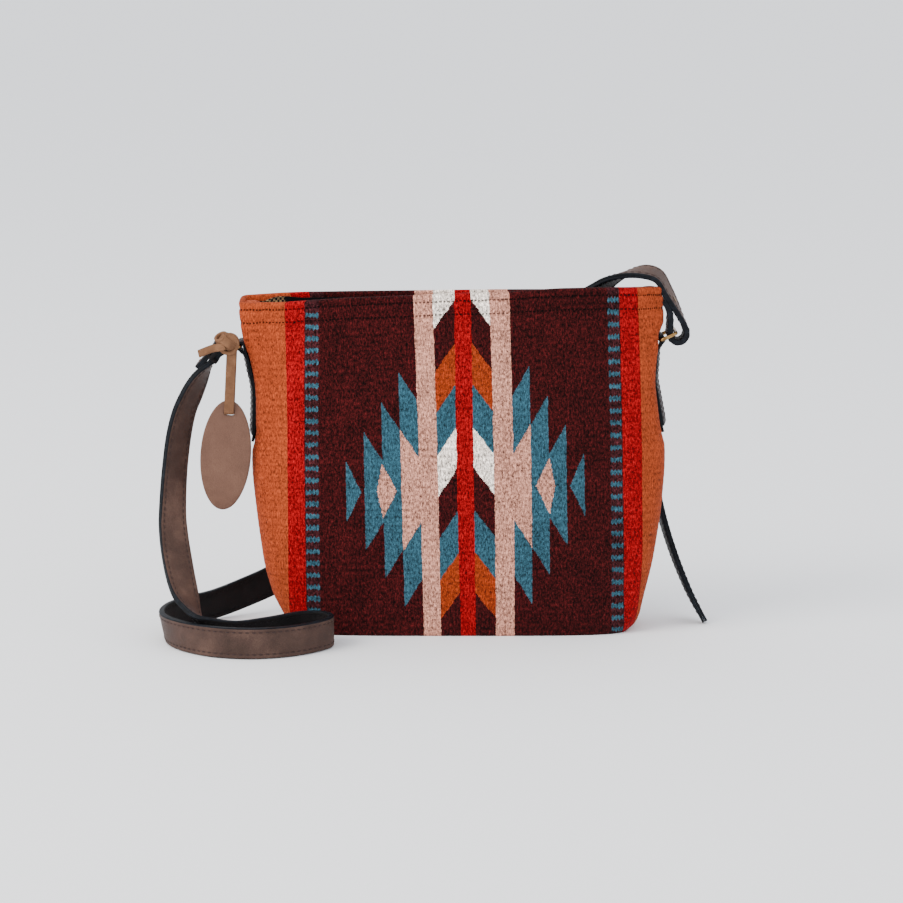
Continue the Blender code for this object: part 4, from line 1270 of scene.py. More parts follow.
def band_patches(
    route: Route, profile: np.ndarray, marks: Sequence[int], reach: np.ndarray | None = None,
    origin: float = 0.0,
) -> list[Patch]:
    """Carry a closed profile along a route and cap both ends.

    A point is the route's point plus the profile's first number along the width, times the share
    there, plus its second number along the outward way.

    Args:
        route: the middle line.
        profile: the closed outline as (across, out), without its first point repeated.
        marks: the finish number of each of its sides.
        reach: the share of the width along the route.
        origin: the distance that the run counts from.

    Returns:
        One patch for each stretch of sides with one finish, and the caps.
    """
    share = (np.ones(len(route.points)) if reach is None else reach)[:, None, None]
    outline = closed(profile, 0)
    across = share * outline[:, :1] * route.widths[:, None]
    grid = route.points[:, None] + across + outline[:, 1:] * route.outward[:, None]
    along = (route.lengths - origin)[:, None]
    run = np.stack(np.broadcast_arrays(outline[:, 0] * share[..., 0], along), axis=-1)
    patches, first = [], 0
    for side in range(1, len(marks) + 1):
        if side == len(marks) or marks[side] != marks[first]:
            patches.append(Patch(grid[:, first:side + 1], run[:, first:side + 1], marks[first]))
            first = side
    for row in (0, -1):
        middle = route.points[row] + 0.5 * (outline[:, 1].max() + outline[:, 1].min()) * route.outward[row]
        inward = np.linspace(0.0, 1.0, 3)[:, None, None]
        patches.append(Patch(grid[row] + inward * (middle - grid[row]), run[row], 1))
    return patches


def stitch_patch(
    route: Route, offsets: Sequence[float], out: float, pitch: float, start: float, end: float,
) -> Patch:
    """Lay rows of stitches along a route, each a short thread that dips at both ends.

    A stitch is a tube of four rings: its radius and height fall at both ends so it sinks into its
    hole. Ring and turn are the two parameters, and all stitches are one array.

    Args:
        route: the strap's middle line.
        offsets: the rows' places across the strap.
        out: the height of the strap's surface over the middle line, with the way's sign.
        pitch: the distance from stitch to stitch.
        start: where the rows start along the route.
        end: where they end.

    Returns:
        One patch with an axis in front for the stitches, with the thread's finish number.
    """
    where = np.tile(np.arange(start, end, pitch), len(offsets))
    across = np.repeat(offsets, len(where) // len(offsets))
    spot, wide, up = route.read(where, route.points, route.widths, route.outward)
    wide, up = unit(wide), unit(up)
    ahead = np.cross(up, wide)
    base = spot + across[:, None] * wide + out * up
    t = np.array([-1.0, -0.6, 0.6, 1.0])
    turn = np.linspace(0.0, TURN, 7)
    size = THREAD_RADIUS * np.array([0.35, 1.0, 1.0, 0.35])
    height = math.copysign(1.0, out) * THREAD_RADIUS * np.array([-0.8, 0.35, 0.35, -0.8])
    middle = base[:, None] + (t * STITCH_LENGTH / 2)[:, None] * ahead[:, None] + height[:, None] * up[:, None]
    ring = np.cos(turn)[:, None] * wide[:, None] + np.sin(turn)[:, None] * up[:, None]
    return Patch(middle[:, :, None] + size[:, None, None] * ring[:, None], finish=2)


# ---------------------------------------------------------------- rings, tabs and buckle


@dataclass
class Hardware(Assembly):
    """The brass rings' and the buckle's sizes and places."""

    body: WovenBody
    wire: float = 1.1
    side_room: float = 0.8
    inner_length: float = 8.0
    corner: float = 2.2
    gap: float = 0.4
    tab_leather: float = 1.5
    tab_ease: float = 0.45
    strap_width: float = 18.0
    drop: dict[Side, float] = field(default_factory=lambda: {Side.LEFT: 26.8, Side.RIGHT: 31.9})
    lift: dict[Side, float] = field(default_factory=lambda: {Side.LEFT: 8.0, Side.RIGHT: 25.0})
    buckle_place: tuple[float, float, float] = (27.0, 25.5, 151.0)
    buckle_along: tuple[float, float, float] = (0.66, -0.09, 0.745)
    buckle_out: tuple[float, float, float] = (0.0, 1.0, 0.12)
    buckle_wire: float = 1.2
    buckle_length: float = 20.0
    prong_wire: float = 1.0
    rivet_place: tuple[float, float, float] = (124.0, 0.0, 198.4)
    rivet_way: tuple[float, float, float] = (0.88, 0.0, 0.48)

    def axis(self, side: Side) -> np.ndarray:
        """The point where a ring's inner bar turns in its tab's fold."""
        body, sign = self.body, side.value
        rim_x = sign * body.level_width[-1] + body.level_shift[-1]
        z = body.height + body.rim_rise * rim_x / body.width - self.drop[side]
        reach = self.gap + self.tab_leather + self.tab_ease + self.wire
        return np.array([body.gusset_x(side, z) + sign * reach, 0.0, z])

    def outer_bar(self, side: Side) -> np.ndarray:
        """The middle of a ring's outer bar, where the strap turns."""
        x, z = arc(self.inner_length + 2 * self.wire, [self.lift[side]])[0]
        return self.axis(side) + (side.value * x, 0.0, z)

    def ring(self, side: Side) -> bpy.types.Object:
        """Make one ring: round wire along a rounded rectangle.

        Args:
            side: the end of the bag.

        Returns:
            The piece.
        """
        axis = self.axis(side)
        reach = self.outer_bar(side) - axis
        width = self.strap_width + 2 * self.side_room + 2 * self.wire
        outline = rounded_rectangle(self.inner_length + 2 * self.wire, width, self.corner, 8, 3)
        line = axis + reach / 2 + outline[:, :1] * unit(reach) + outline[:, 1:] * BACK
        wall = hoop(line, unit(np.cross(reach, BACK)), circle(self.wire))
        piece = make_piece(side.word + "_ring_wire", [wall], [self.finishes.brass])
        return settle(piece, side.word + "_ring", side.word + "_ring")

    def buckle_frame(self) -> tuple[np.ndarray, np.ndarray, np.ndarray]:
        """The buckle's ways: along the strap, across it, and out."""
        along = unit(self.buckle_along)
        out = unit(np.array(self.buckle_out) - np.dot(self.buckle_out, along) * along)
        return along, np.cross(along, out), out

    def on_buckle(self, s: float, w: float, n: float) -> np.ndarray:
        """A point given along, across and out from the buckle's rest bar."""
        along, across, out = self.buckle_frame()
        return np.array(self.buckle_place) + s * along + w * across + n * out

    def buckle(self) -> list[bpy.types.Object]:
        """Make the buckle's frame, its prong, and the leather keeper.

        Returns:
            The three pieces.
        """
        along, across, out = self.buckle_frame()
        width = self.strap_width + 2 * (self.side_room + self.buckle_wire)
        outline = rounded_rectangle(self.buckle_length, width, self.corner, 8, 3)
        middle = self.on_buckle(self.buckle_length / 2, 0.0, 0.0)
        line = middle + outline[:, :1] * along + outline[:, 1:] * across
        shell = make_piece("buckle_wire", [hoop(line, out, circle(self.buckle_wire))], [self.finishes.brass])
        settle(shell, "bag", "buckle_frame")
        hook = self.buckle_wire + 0.3 + self.prong_wire
        pairs = (self.buckle_length, 0.0) + arc(hook, np.arange(-60.0, -181.0, -12.0))
        tongue = [(15.5, 1.6), (12.0, 2.1), (8.0, 2.3), (4.0, 2.45), (0.0, 2.5), (-2.2, 2.2)]
        pairs = np.vstack([pairs, tongue])
        middle = np.array(self.buckle_place) + pairs[:, :1] * along + pairs[:, 1:] * out
        middle = Route.through([(p, across) for p in middle], 1.2).points
        taper = 1.0 - 0.25 * ease(np.linspace(0.0, 1.0, len(middle)), 0.7, 1.0)
        wire = tapered_wire(middle, self.prong_wire, taper)
        prong = make_piece("buckle_prong_wire", wire, [self.finishes.brass])
        settle(prong, "bag", "buckle_prong")
        # The keeper goes round both straps, from 0.45 to 8.55 out of the rest bar
        low, high, leather = 0.45, 8.55, 1.4
        loop = rounded_rectangle(self.strap_width + 0.8 + leather, high - low + leather, leather, 5, 4)
        line = self.on_buckle(36.5, 0.0, (low + high) / 2) + loop[:, :1] * across + loop[:, 1:] * out
        section = np.array([
            (-3.25, -0.5), (-2.9, -0.7), (2.9, -0.7), (3.25, -0.5), (3.25, 0.45), (2.85, 0.7), (0.0, 0.78),
            (-2.85, 0.7), (-3.25, 0.45),
        ])
        keeper = make_piece("keeper_leather", [hoop(line, along, section)], [self.finishes.tab])
        settle(keeper, "bag", "strap_keeper")
        return [shell, prong, keeper]

    def rivet(self) -> bpy.types.Object:
        """Make the rivet: a shank and a low dome on each side of the folded strap.

        A point is the rivet's middle plus the profile's radius times the turn's cosine and sine, plus
        its height along the rivet.

        Returns:
            The piece, not yet placed on a body.
        """
        way = unit(self.rivet_way)
        first = unit(np.cross(way, BACK))
        second = np.cross(way, first)
        outer = [(0.0, 3.9), (1.2, 3.87), (2.2, 3.72), (2.75, 3.58), (2.8, 3.48), (2.5, 3.4), (1.2, 3.38)]
        inner = [(1.2, 3.3), (2.5, 3.35), (2.8, 3.5), (2.75, 3.75), (2.2, 4.1), (1.2, 4.38), (0.0, 4.45)]
        profile = np.vstack([outer, np.array(inner) * (1.0, -1.0)])
        turn = np.linspace(0.0, TURN, 25)
        ring = np.cos(turn)[:, None] * first + np.sin(turn)[:, None] * second
        grid = np.array(self.rivet_place) + profile[:, None, :1] * ring[None] + profile[:, None, 1:] * way
        return make_piece("rivet_caps", [Patch(grid)], [self.finishes.brass])


@dataclass
class Tab(Assembly):
    """A leather strip up the side of the bag, round its ring's bar and down again, sewn on."""

    hardware: Hardware
    width: float = 18.0
    step: float = 4.0
    spare: dict[Side, float] = field(default_factory=lambda: {Side.LEFT: 0.6, Side.RIGHT: 0.9})
    turn: float = 0.14          # how far the outer leg's back edge stands off
    length: dict[Side, float] = field(default_factory=lambda: {Side.LEFT: 57.5, Side.RIGHT: 55.5})

    def route(self, side: Side) -> Route:
        """The strip's middle line, from its foot up to the fold and back down.

        Args:
            side: the end of the bag.

        Returns:
            The route.
        """
        hardware, body, sign = self.hardware, self.hardware.body, side.value
        axis = hardware.axis(side)
        inner = hardware.gap + hardware.tab_leather / 2 + 0.3
        outer = inner + hardware.tab_leather + self.spare[side]
        fold = hardware.wire + hardware.tab_ease + hardware.tab_leather / 2
        foot = axis[2] - self.length[side]
        path = [(body.gusset_x(side, z) + sign * inner, z, 0.0) for z in np.linspace(foot, axis[2] - 3.0, 7)]
        path += [(axis[0] + sign * a, axis[2] + b, 0.0) for a, b in arc(fold, range(180, -21, -20))]
        down = np.linspace(axis[2] - 6.5, foot + self.step, 6)
        path += [(body.gusset_x(side, z) + sign * outer, z, -sign * self.turn) for z in down]
        return Route.through([((x, 0.0, z), (lean, -1.0, 0.0)) for x, z, lean in path], 1.5)

    def build(self, side: Side) -> bpy.types.Object:
        """Make the strip with painted edges and a row of stitches along each edge.

        Args:
            side: the end of the bag.

        Returns:
            The piece.
        """
        route = self.route(side)
        half, thick = self.width / 2, self.hardware.tab_leather / 2
        edge = [(half - 0.3, -thick), (half, -thick + 0.3), (half, thick - 0.35), (half - 0.45, thick)]
        groove = [(half - 2.2, thick), (half - 2.6, thick - 0.12), (half - 3.0, thick)]
        right = edge + groove
        left = [(-a, b) for a, b in right[::-1]]
        profile = np.array([*right, (0.0, thick + 0.05), *left])
        marks = [1, 1, 1, 0, 0, 0, 0, 0, 0, 0, 0, 1, 1, 1, 0]
        out = math.copysign(1.0, (route.outward[-1] * (side.value, 0.0, 0.0)).sum())
        patches = band_patches(route, profile * (1.0, out), marks)
        ends = (route.length * 0.58, route.length - 3.0)
        sewn = stitch_patch(route, (-half + 2.6, half - 2.6), out * (thick - 0.05), 3.4, *ends)
        coats = [self.finishes.tab, self.finishes.edge, self.finishes.thread]
        piece = make_piece(side.word + "_tab_leather", [*patches, sewn], coats)
        return settle(piece, "bag", side.word + "_tab")


# ---------------------------------------------------------------- straps


@dataclass
class Strap(Assembly):
    """The strap: brown leather sewn to a black backing, with painted edges.

    Its two parts are the long strap, from the left ring down to the floor, round and up behind the bag,
    and the short strap, from the buckle over the rim to the right ring.
    """

    hardware: Hardware
    width: float = 18.0
    layer: float = 1.5
    between: float = 0.3
    tip: float = 14.0
    ease: float = 0.6
    step: float = 2.2
    left_away: tuple[float, float, float] = (-0.674, 0.0, -0.739)
    left_above: tuple[float, float, float] = (-0.739, 0.0, 0.674)
    wrap_at: float = 11.0       # from the left bar to the lace's wrap

    long_route = (
        ((-156.6, -1.6, 153.0), (-0.42, -0.9, 0.1)), ((-162.4, -4.0, 142.0), (-0.62, -0.78, 0.05)),
        ((-166.8, -5.2, 131.5), (-0.66, -0.75, 0.0)), ((-170.2, -7.2, 116.0), (-0.7, -0.72, 0.0)),
        ((-172.5, -11.0, 95.0), (-0.7, -0.7, 0.0)), ((-173.2, -18.0, 74.0), (-0.76, -0.64, 0.0)),
        ((-172.2, -24.5, 62.0), (-0.84, -0.5, 0.05)), ((-169.6, -33.5, 49.0), (-0.9, -0.3, 0.15)),
        ((-165.5, -45.5, 35.5), (-0.84, -0.15, 0.4)), ((-160.0, -57.0, 23.5), (-0.66, -0.1, 0.72)),
        ((-150.5, -67.0, 13.4), (-0.4, -0.05, 0.9)), ((-134.0, -68.0, 9.7), (-0.12, 0.0, 0.99)),
        ((-115.0, -57.5, 9.5), (0.0, 0.0, 1.0)), ((-97.5, -43.5, 9.5), (0.0, 0.0, 1.0)),
        ((-85.5, -41.0, 9.5), (0.0, 0.0, 1.0)), ((-78.2, -47.5, 9.5), (0.0, 0.0, 1.0)),
        ((-78.4, -58.5, 9.5), (0.0, 0.0, 1.0)), ((-87.0, -70.0, 9.5), (0.0, 0.0, 1.0)),
        ((-102.0, -80.5, 9.5), (0.0, 0.0, 1.0)), ((-122.0, -85.5, 9.5), (0.0, 0.0, 1.0)),
        ((-143.0, -81.5, 9.5), (0.0, 0.0, 1.0)), ((-160.5, -70.0, 9.5), (-0.1, 0.0, 0.99)),
        ((-172.6, -54.5, 9.5), (-0.17, 0.0, 0.98)), ((-177.2, -38.0, 9.5), (-0.2, 0.0, 0.98)),
        ((-175.6, -19.5, 9.5), (-0.12, 0.0, 0.99)), ((-167.0, -1.5, 9.5), (0.0, 0.0, 1.0)),
        ((-152.5, 14.5, 9.7), (0.0, 0.0, 1.0)), ((-136.0, 27.0, 13.5), (-0.12, 0.0, 0.99)),
        ((-114.0, 35.0, 22.0), (-0.28, -0.05, 0.95)), ((-87.0, 37.5, 37.0), (-0.44, -0.05, 0.89)),
        ((-58.0, 37.0, 57.0), (-0.58, 0.0, 0.81)), ((-31.0, 35.0, 82.0), (-0.68, 0.0, 0.73)),
        ((-10.0, 31.0, 106.5), (-0.74, 0.0, 0.67)),
    )
    through_buckle = (
        (-26.0, 1.0), (-12.0, -2.8), (0.0, -4.0), (5.5, -2.4), (10.5, 1.6),
        (15.0, 5.4), (20.0, 7.4), (27.0, 7.6), (33.0, 6.5), (40.0, 6.5), (47.0, 7.6),
    )
    long_tail = (
        ((64.5, 34.0, 189.5), (-0.5, -0.15, 0.85)), ((76.5, 38.5, 191.0), (-0.1, -0.35, 0.93)),
        ((88.5, 41.0, 185.5), (0.2, -0.65, 0.7)), ((98.5, 42.0, 174.0), (0.25, -0.85, 0.4)),
        ((106.0, 41.5, 158.0), (0.15, -0.95, 0.15)), ((111.5, 40.0, 138.0), (0.0, -1.0, 0.0)),
        ((114.6, 38.0, 115.0), (0.02, -1.0, 0.0)), ((117.6, 35.5, 92.0), (0.06, -1.0, 0.0)),
        ((121.8, 30.5, 68.0), (0.1, -1.0, 0.0)), ((128.8, 24.0, 44.0), (0.1, -1.0, 0.0)),
        ((138.4, 14.0, 20.0), (0.08, -1.0, 0.0)), ((148.4, 4.0, 1.5), (0.04, -1.0, 0.0)),
    )
    past_buckle = ((27.0, 3.3), (33.0, 2.5), (40.0, 2.5), (47.0, 1.8))
    short_route = (
        ((66.5, 22.8, 190.2), (-0.62, -0.3, 0.72)), ((78.2, 19.2, 199.0), (-0.5, -0.6, 0.55)),
        ((88.0, 14.6, 208.4), (-0.2, -0.88, 0.35)), ((98.0, 8.4, 214.0), (0.0, -0.99, 0.1)),
        ((108.0, 3.2, 216.1), (-0.14, -0.95, -0.2)), ((117.2, 0.8, 213.4), (-0.17, -0.95, -0.24)),
        ((122.8, -0.2, 204.4), (-0.2, -0.95, -0.16)), ((127.4, 0.0, 196.0), (-0.14, -0.98, -0.08)),
        ((131.6, 0.0, 187.4), (-0.05, -0.99, 0.0)),
    )
    short_loop = ((6.6, 0.8), (6.1, -3.2), (3.3, -5.8), (-0.8, -5.6), (-3.3, -2.1))
    short_return = (
        ((124.4, 0.0, 186.0), (0.0, -1.0, 0.0)), ((124.3, 0.0, 191.6), (-0.03, -1.0, 0.0)),
        ((123.0, -0.1, 196.8), (-0.1, -0.98, -0.06)), ((121.0, -0.2, 200.6), (-0.14, -0.97, -0.1)),
    )

    @property
    def thick(self) -> float:
        """The strap's whole thickness."""
        return 2 * self.layer + self.between

    def profile(self, layer: Layer) -> tuple[np.ndarray, list[int]]:
        """The outline of one leather: square to its mate, rounded outside, with a groove for the thread.

        Args:
            layer: the brown face or the black backing.

        Returns:
            The outline as (across, out), and each side's finish: 0 leather, 1 edge paint.
        """
        half, top, low = self.width / 2, self.thick / 2, 0.04
        right = [
            (half - 0.08, low), (half, 0.5), (half - 0.02, top - 0.45), (half - 0.2, top - 0.16),
            (half - 0.6, top), (half - 1.7, top + 0.02), (half - 2.2, top - 0.05), (half - 2.5, top - 0.2),
            (half - 2.8, top - 0.05), (half - 3.3, top + 0.04), (half - 6.0, top + 0.08),
        ]
        outline = np.array(right + [(0.0, top + 0.1)] + [(-a, b) for a, b in right[::-1]])
        sides = zip(outline[:, 0], np.roll(outline[:, 0], -1))
        marks = [int(abs(a) > half - 0.4 and abs(b) > half - 0.7 and a * b > 0) for a, b in sides]
        return outline * (1.0, float(layer.value)), marks

    def buckle_stations(self, pairs: Sequence[tuple[float, float]]) -> list[tuple[np.ndarray, np.ndarray]]:
        """Turn (along, out) pairs in the buckle's frame into stations."""
        across = self.hardware.buckle_frame()[1]
        return [(self.hardware.on_buckle(s, 0.0, n), across) for s, n in pairs]

    def long_line(self) -> Route:
        """The long strap's middle line, from its cut end at the left ring to its tip."""
        bar = self.hardware.outer_bar(Side.LEFT)
        radius = self.hardware.wire + self.ease + self.thick / 2
        away, above, near = np.array(self.left_away), np.array(self.left_above), -BACK
        close = self.thick / 2 + 0.25
        toward = unit(-away)
        sideways = np.array([-toward[2], 0.0, toward[0]])
        upper_leg = ((21.5, close), (15.0, close), (8.0, close + 0.3))
        lower_leg = ((8.0, -close - 0.3), (14.0, -close))
        stations = [(bar + far * away + apart * above, near) for far, apart in upper_leg]
        stations += [(bar + a * toward + b * sideways, near) for a, b in arc(radius, (90, 45, 0, -45, -90))]
        stations += [(bar + far * away + apart * above, near) for far, apart in lower_leg]
        stations += [*self.long_route, *self.buckle_stations(self.through_buckle), *self.long_tail]
        return Route.through(stations, self.step)

    def short_line(self) -> Route:
        """The short strap's middle line, from its fold at the buckle to its fold at the right ring."""
        hardware = self.hardware
        radius = hardware.buckle_wire + 0.5 + self.thick / 2
        turns = (hardware.buckle_length, 0.0) + arc(radius, (-90, -120, -150, 180, 150, 120, 90))
        stations = self.buckle_stations([(31.5, -1.9), (26.0, -2.7), *turns, *self.past_buckle])
        stations += list(self.short_route)
        bar = hardware.outer_bar(Side.RIGHT)
        stations += [(bar + (x, 0.0, z), -BACK) for x, z in self.short_loop]
        stations += list(self.short_return)
        return Route.through(stations, self.step)

    def leathers(
        self, name: str, route: Route, reach: np.ndarray | None = None, origin: float = 0.0,
        punched: bool = False,
    ) -> list[bpy.types.Object]:
        """Make the brown face and the black backing along one route, with their stitches.

        Args:
            name: the start of the pieces' names.
            route: the middle line.
            reach: the share of the width along the route, for a pointed end.
            origin: the distance that the holes are counted from.
            punched: whether the adjusting holes are in it.

        Returns:
            The face and the backing.
        """
        made = []
        rows = (-self.width / 2 + 2.5, self.width / 2 - 2.5)
        sewn_end = route.length - (9.0 if reach is not None else 2.0)
        brown, black = self.finishes.brown_punched if punched else self.finishes.brown, self.finishes.black
        coats = {Layer.FACE: (brown, self.finishes.thread), Layer.BACKING: (black, black)}
        for layer in Layer:
            outline, marks = self.profile(layer)
            patches = band_patches(route, outline, marks, reach, origin)
            level = layer.value * (self.thick / 2 - 0.1)
            sewn = stitch_patch(route, rows, level, 3.8, 2.5, sewn_end)
            leather, thread = coats[layer]
            layers = [leather, self.finishes.edge, thread]
            piece = make_piece(f"{name}_{layer.word}", [*patches, sewn], layers, sharp=50.0)
            made.append(piece)
            LOG.info("%s: %d faces, %.0f mm long", piece.name, len(piece.data.polygons), route.length)
        return made

    def build_long(self) -> None:
        """Make the strap's folded left end, and the rest of the long strap, which is put on the bag."""
        route = self.long_line()
        bar = self.hardware.outer_bar(Side.LEFT)
        away = np.array(self.left_away)
        wrap = bar + self.wrap_at * away
        lower_leg = wrap - (self.thick / 2 + 0.25) * np.array(self.left_above)
        # The fold's upper leg, the route's first 20 mm, passes the wrap too
        near = np.where(route.lengths > 20.0, np.linalg.norm(route.points - lower_leg, axis=1), np.inf)
        cut = float(route.lengths[np.argmin(near)])
        fold = self.leathers("left_fold", route.part(0.0, cut + 1.0))
        for piece in fold:
            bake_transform(piece)
        rest = route.part(cut - 1.0, route.length)
        reach = np.sqrt(np.clip((rest.length - rest.lengths) / self.tip, 0.06, 1.0))
        prong = rest.nearest(self.hardware.on_buckle(self.hardware.buckle_length * 0.53, 0.0, 1.8))
        face, backing = self.leathers("long_strap", rest, reach, prong, punched=True)
        for piece, node in ((face, "long_strap_face"), (backing, "long_strap_backing")):
            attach(piece, "bag")
            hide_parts(node)
        LOG.info("long strap: %.0f mm from the wrap to its tip", rest.length)

    def build_short(self, fittings: Sequence[bpy.types.Object]) -> None:
        """Make the short strap and the rivet, and hide their CAD nodes.

        Args:
            fittings: the buckle's pieces; not used.
        """
        route = self.short_line()
        bar = self.hardware.outer_bar(Side.RIGHT)
        face, backing = self.leathers("short_strap", route)
        rivet = self.hardware.rivet()
        for piece, node, first, last in (
            (face, "short_strap_face", 0.0, 22.0), (backing, "short_strap_backing", 0.0, 22.0),
            (rivet, "strap_rivet", -19.3, 60.7),
        ):
            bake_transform(piece)
            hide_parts(node)
        LOG.info("short strap: %.0f mm", route.length)


# ---------------------------------------------------------------- lace and tag


@dataclass
class LacedTag(Assembly):
    """A thong round the strap's folded end, the lace's knot and tail, and the oval tag that hangs on it."""

    strap: Strap
    lace_thick: float = 1.6
    knot_from_ring: tuple[float, float, float] = (2.0, -8.4, 1.4)
    tail: tuple[float, float, float] = (-17.0, -0.6, -6.2)
    tag_length: float = 66.4
    tag_width: float = 30.2
    tag_thick: float = 2.4
    tag_tilt: float = 4.6
    tag_from_knot: tuple[float, float, float] = (1.9, 0.0, -33.8)
    slot_drop: float = 6.9
    slot: tuple[float, float] = (6.0, 4.2)

    @property
    def knot(self) -> np.ndarray:
        """The knot's middle."""
        x, y, z = self.knot_from_ring
        return self.strap.hardware.outer_bar(Side.LEFT) + np.array([x, y - self.strap.width / 2, z])

    def tag_ways(self) -> tuple[np.ndarray, np.ndarray, np.ndarray]:
        """Down the tag, across it and out of its front."""
        cosine, sine = arc(1.0, [self.tag_tilt])[0]
        return np.array([-sine, 0.0, -cosine]), np.array([cosine, 0.0, -sine]), -BACK

    @staticmethod
    def lace_profile(width: float, thick: float) -> np.ndarray:
        """The lace's outline as (across, out): flat, with soft corners and a low crown."""
        half, high = width / 2, thick / 2
        right = [(half, -0.3 * high), (half, 0.4 * high), (half - 0.35, 0.85 * high), (half * 0.5, high)]
        left = [(-a, b) for a, b in right[::-1]]
        return np.array([*right, (0.0, high * 1.06), *left, (-half + 0.3, -high), (half - 0.3, -high)])

    def ribbon(self, line: np.ndarray, widths: np.ndarray, width: float, thick: float) -> list[Patch]:
        """Carry the lace's outline along an open line.

        Args:
            line: the middle line.
            widths: the way across the lace at each point.
            width: the lace's width.
            thick: its thickness.

        Returns:
            The patches.
        """
        outline = self.lace_profile(width, thick)
        return band_patches(Route.along(line, widths), outline, [0] * len(outline))

    def build(self) -> None:
        """Make the thong round the fold, the knot, the tail, the hanging loop and the tag."""
        self.thong()
        knot = self.knot + np.array([1.2, -0.6, 0.4])
        tail = np.array(self.tail)
        flat = 0.85 * unit(np.cross(BACK, tail)) + 0.5 * BACK
        bends = (
            (0.1, -4.6, -0.5), (0.25, -5.2, -0.2), (0.45, -4.2, 0.5), (0.7, -2.2, 0.4), (1.0, tail[1], 0.0),
        )
        curve = [(knot + (far * tail[0], bow, far * tail[2] + rise), flat) for far, bow, rise in bends]
        tail_route = Route.through(curve, 1.5)
        patches = self.ribbon(tail_route.points, tail_route.widths, 4.8, self.lace_thick)
        piece = make_piece("lace_knot", self.knot_patches(knot) + patches, [self.finishes.lace], sharp=60.0)
        settle(piece, "bag", "tag_lace")
        self.hanging()
        self.tag()

    def thong(self) -> None:
        """Make the narrow dark thong that holds the strap's fold shut and ties it to the knot."""
        strap, knot = self.strap, self.knot
        away, above = np.array(strap.left_away), np.array(strap.left_above)
        wrap = strap.hardware.outer_bar(Side.LEFT) + strap.wrap_at * away
        thong = (2.4, 1.0)
        half_stack, half_across = strap.thick + 0.45 + 0.5, strap.width / 2 + 0.15 + 0.5
        outline = rounded_rectangle(2 * half_stack, 2 * half_across, 1.5, 4, 5)
        line = wrap + outline[:, :1] * above + outline[:, 1:] * BACK
        patches = [hoop(line, away, self.lace_profile(*thong))]
        front = wrap + np.array([0.0, -half_across, 0.0])
        stations = (front + away, 0.5 * (front + knot) + 0.6 * BACK, knot + 2.0 * BACK)
        bridge = Route.through([(station, above) for station in stations], 1.2)
        patches += self.ribbon(bridge.points, bridge.widths, *thong)
        piece = make_piece("fold_thong", patches, [self.finishes.black], sharp=60.0)
        settle(piece, "bag", "tag_lace")

    def knot_patches(self, knot: np.ndarray) -> list[Patch]:
        """Tie the knot: a rounded core with three turns of lace drawn over it.

        A turn is an ellipse in the plane of two ways, with the lace carried flat along it: a round one
        below, a lobe at the upper left and one drawn tight over the core.

        Args:
            knot: the knot's middle.

        Returns:
            The patches.
        """
        turn = np.linspace(0.0, TURN, 40, endpoint=False)[:, None]
        patches = []
        for right, up_way, size_a, size_b, shift, width, thick in (
            ((1.0, 0.0, 0.0), (0.0, 0.0, 1.0), 5.2, 5.0, (0.8, -1.9, -0.5), 3.8, 2.3),
            ((0.9, 0.0, 0.44), (-0.3, 0.9, 0.3), 3.4, 3.6, (-3.2, -0.6, 3.0), 4.6, 1.7),
            ((0.8, 0.1, -0.6), (0.1, 1.0, 0.0), 5.0, 4.4, (0.7, -0.7, 1.1), 5.4, 1.5),
        ):
            a, b = unit(right), unit(up_way)
            b = unit(b - np.dot(a, b) * a)
            line = knot + np.array(shift) + np.cos(turn) * size_a * a + np.sin(turn) * size_b * b
            patches.append(hoop(line, np.cross(a, b), self.lace_profile(width, thick)))
        patches.append(Patch(knot + (1.4, -0.6, 1.0) + ball(17) * (5.8, 4.8, 5.5)))
        return patches

    def hanging(self) -> None:
        """Make the lace's two hanging legs and the bend through the tag's slot."""
        knot = self.knot
        down, _, _ = self.tag_ways()
        slot_middle = knot + np.array(self.tag_from_knot) + self.slot_drop * down
        gap = self.tag_thick / 2 + 0.5 + self.lace_thick / 2
        low = slot_middle[2] + self.slot[1] / 2 - self.lace_thick - 1.5
        top = knot[2] - 1.5
        slope = (knot[0] + 3.9 - slot_middle[0] - 0.3) / (top - low)
        pairs = [(-gap, b) for b in np.linspace(top, low + 3.4, 14)]
        pairs += [(gap * a, low + 1.6 + 1.6 * b) for a, b in arc(1.0, np.linspace(180.0, 360.0, 9))]
        pairs += [(gap, b) for b in np.linspace(low + 3.4, top, 14)]
        line = np.array([(slot_middle[0] + 0.3 + slope * (b - low), knot[1] + a, b) for a, b in pairs])
        patches = self.ribbon(line, np.tile((1.0, 0.0, 0.0), (len(line), 1)), 5.9, self.lace_thick)
        piece = make_piece("lace_hanging", patches, [self.finishes.lace], sharp=60.0)
        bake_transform(piece)
        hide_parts("tag_lace")
        LOG.info("lace_hanging: %d faces", len(piece.data.polygons))

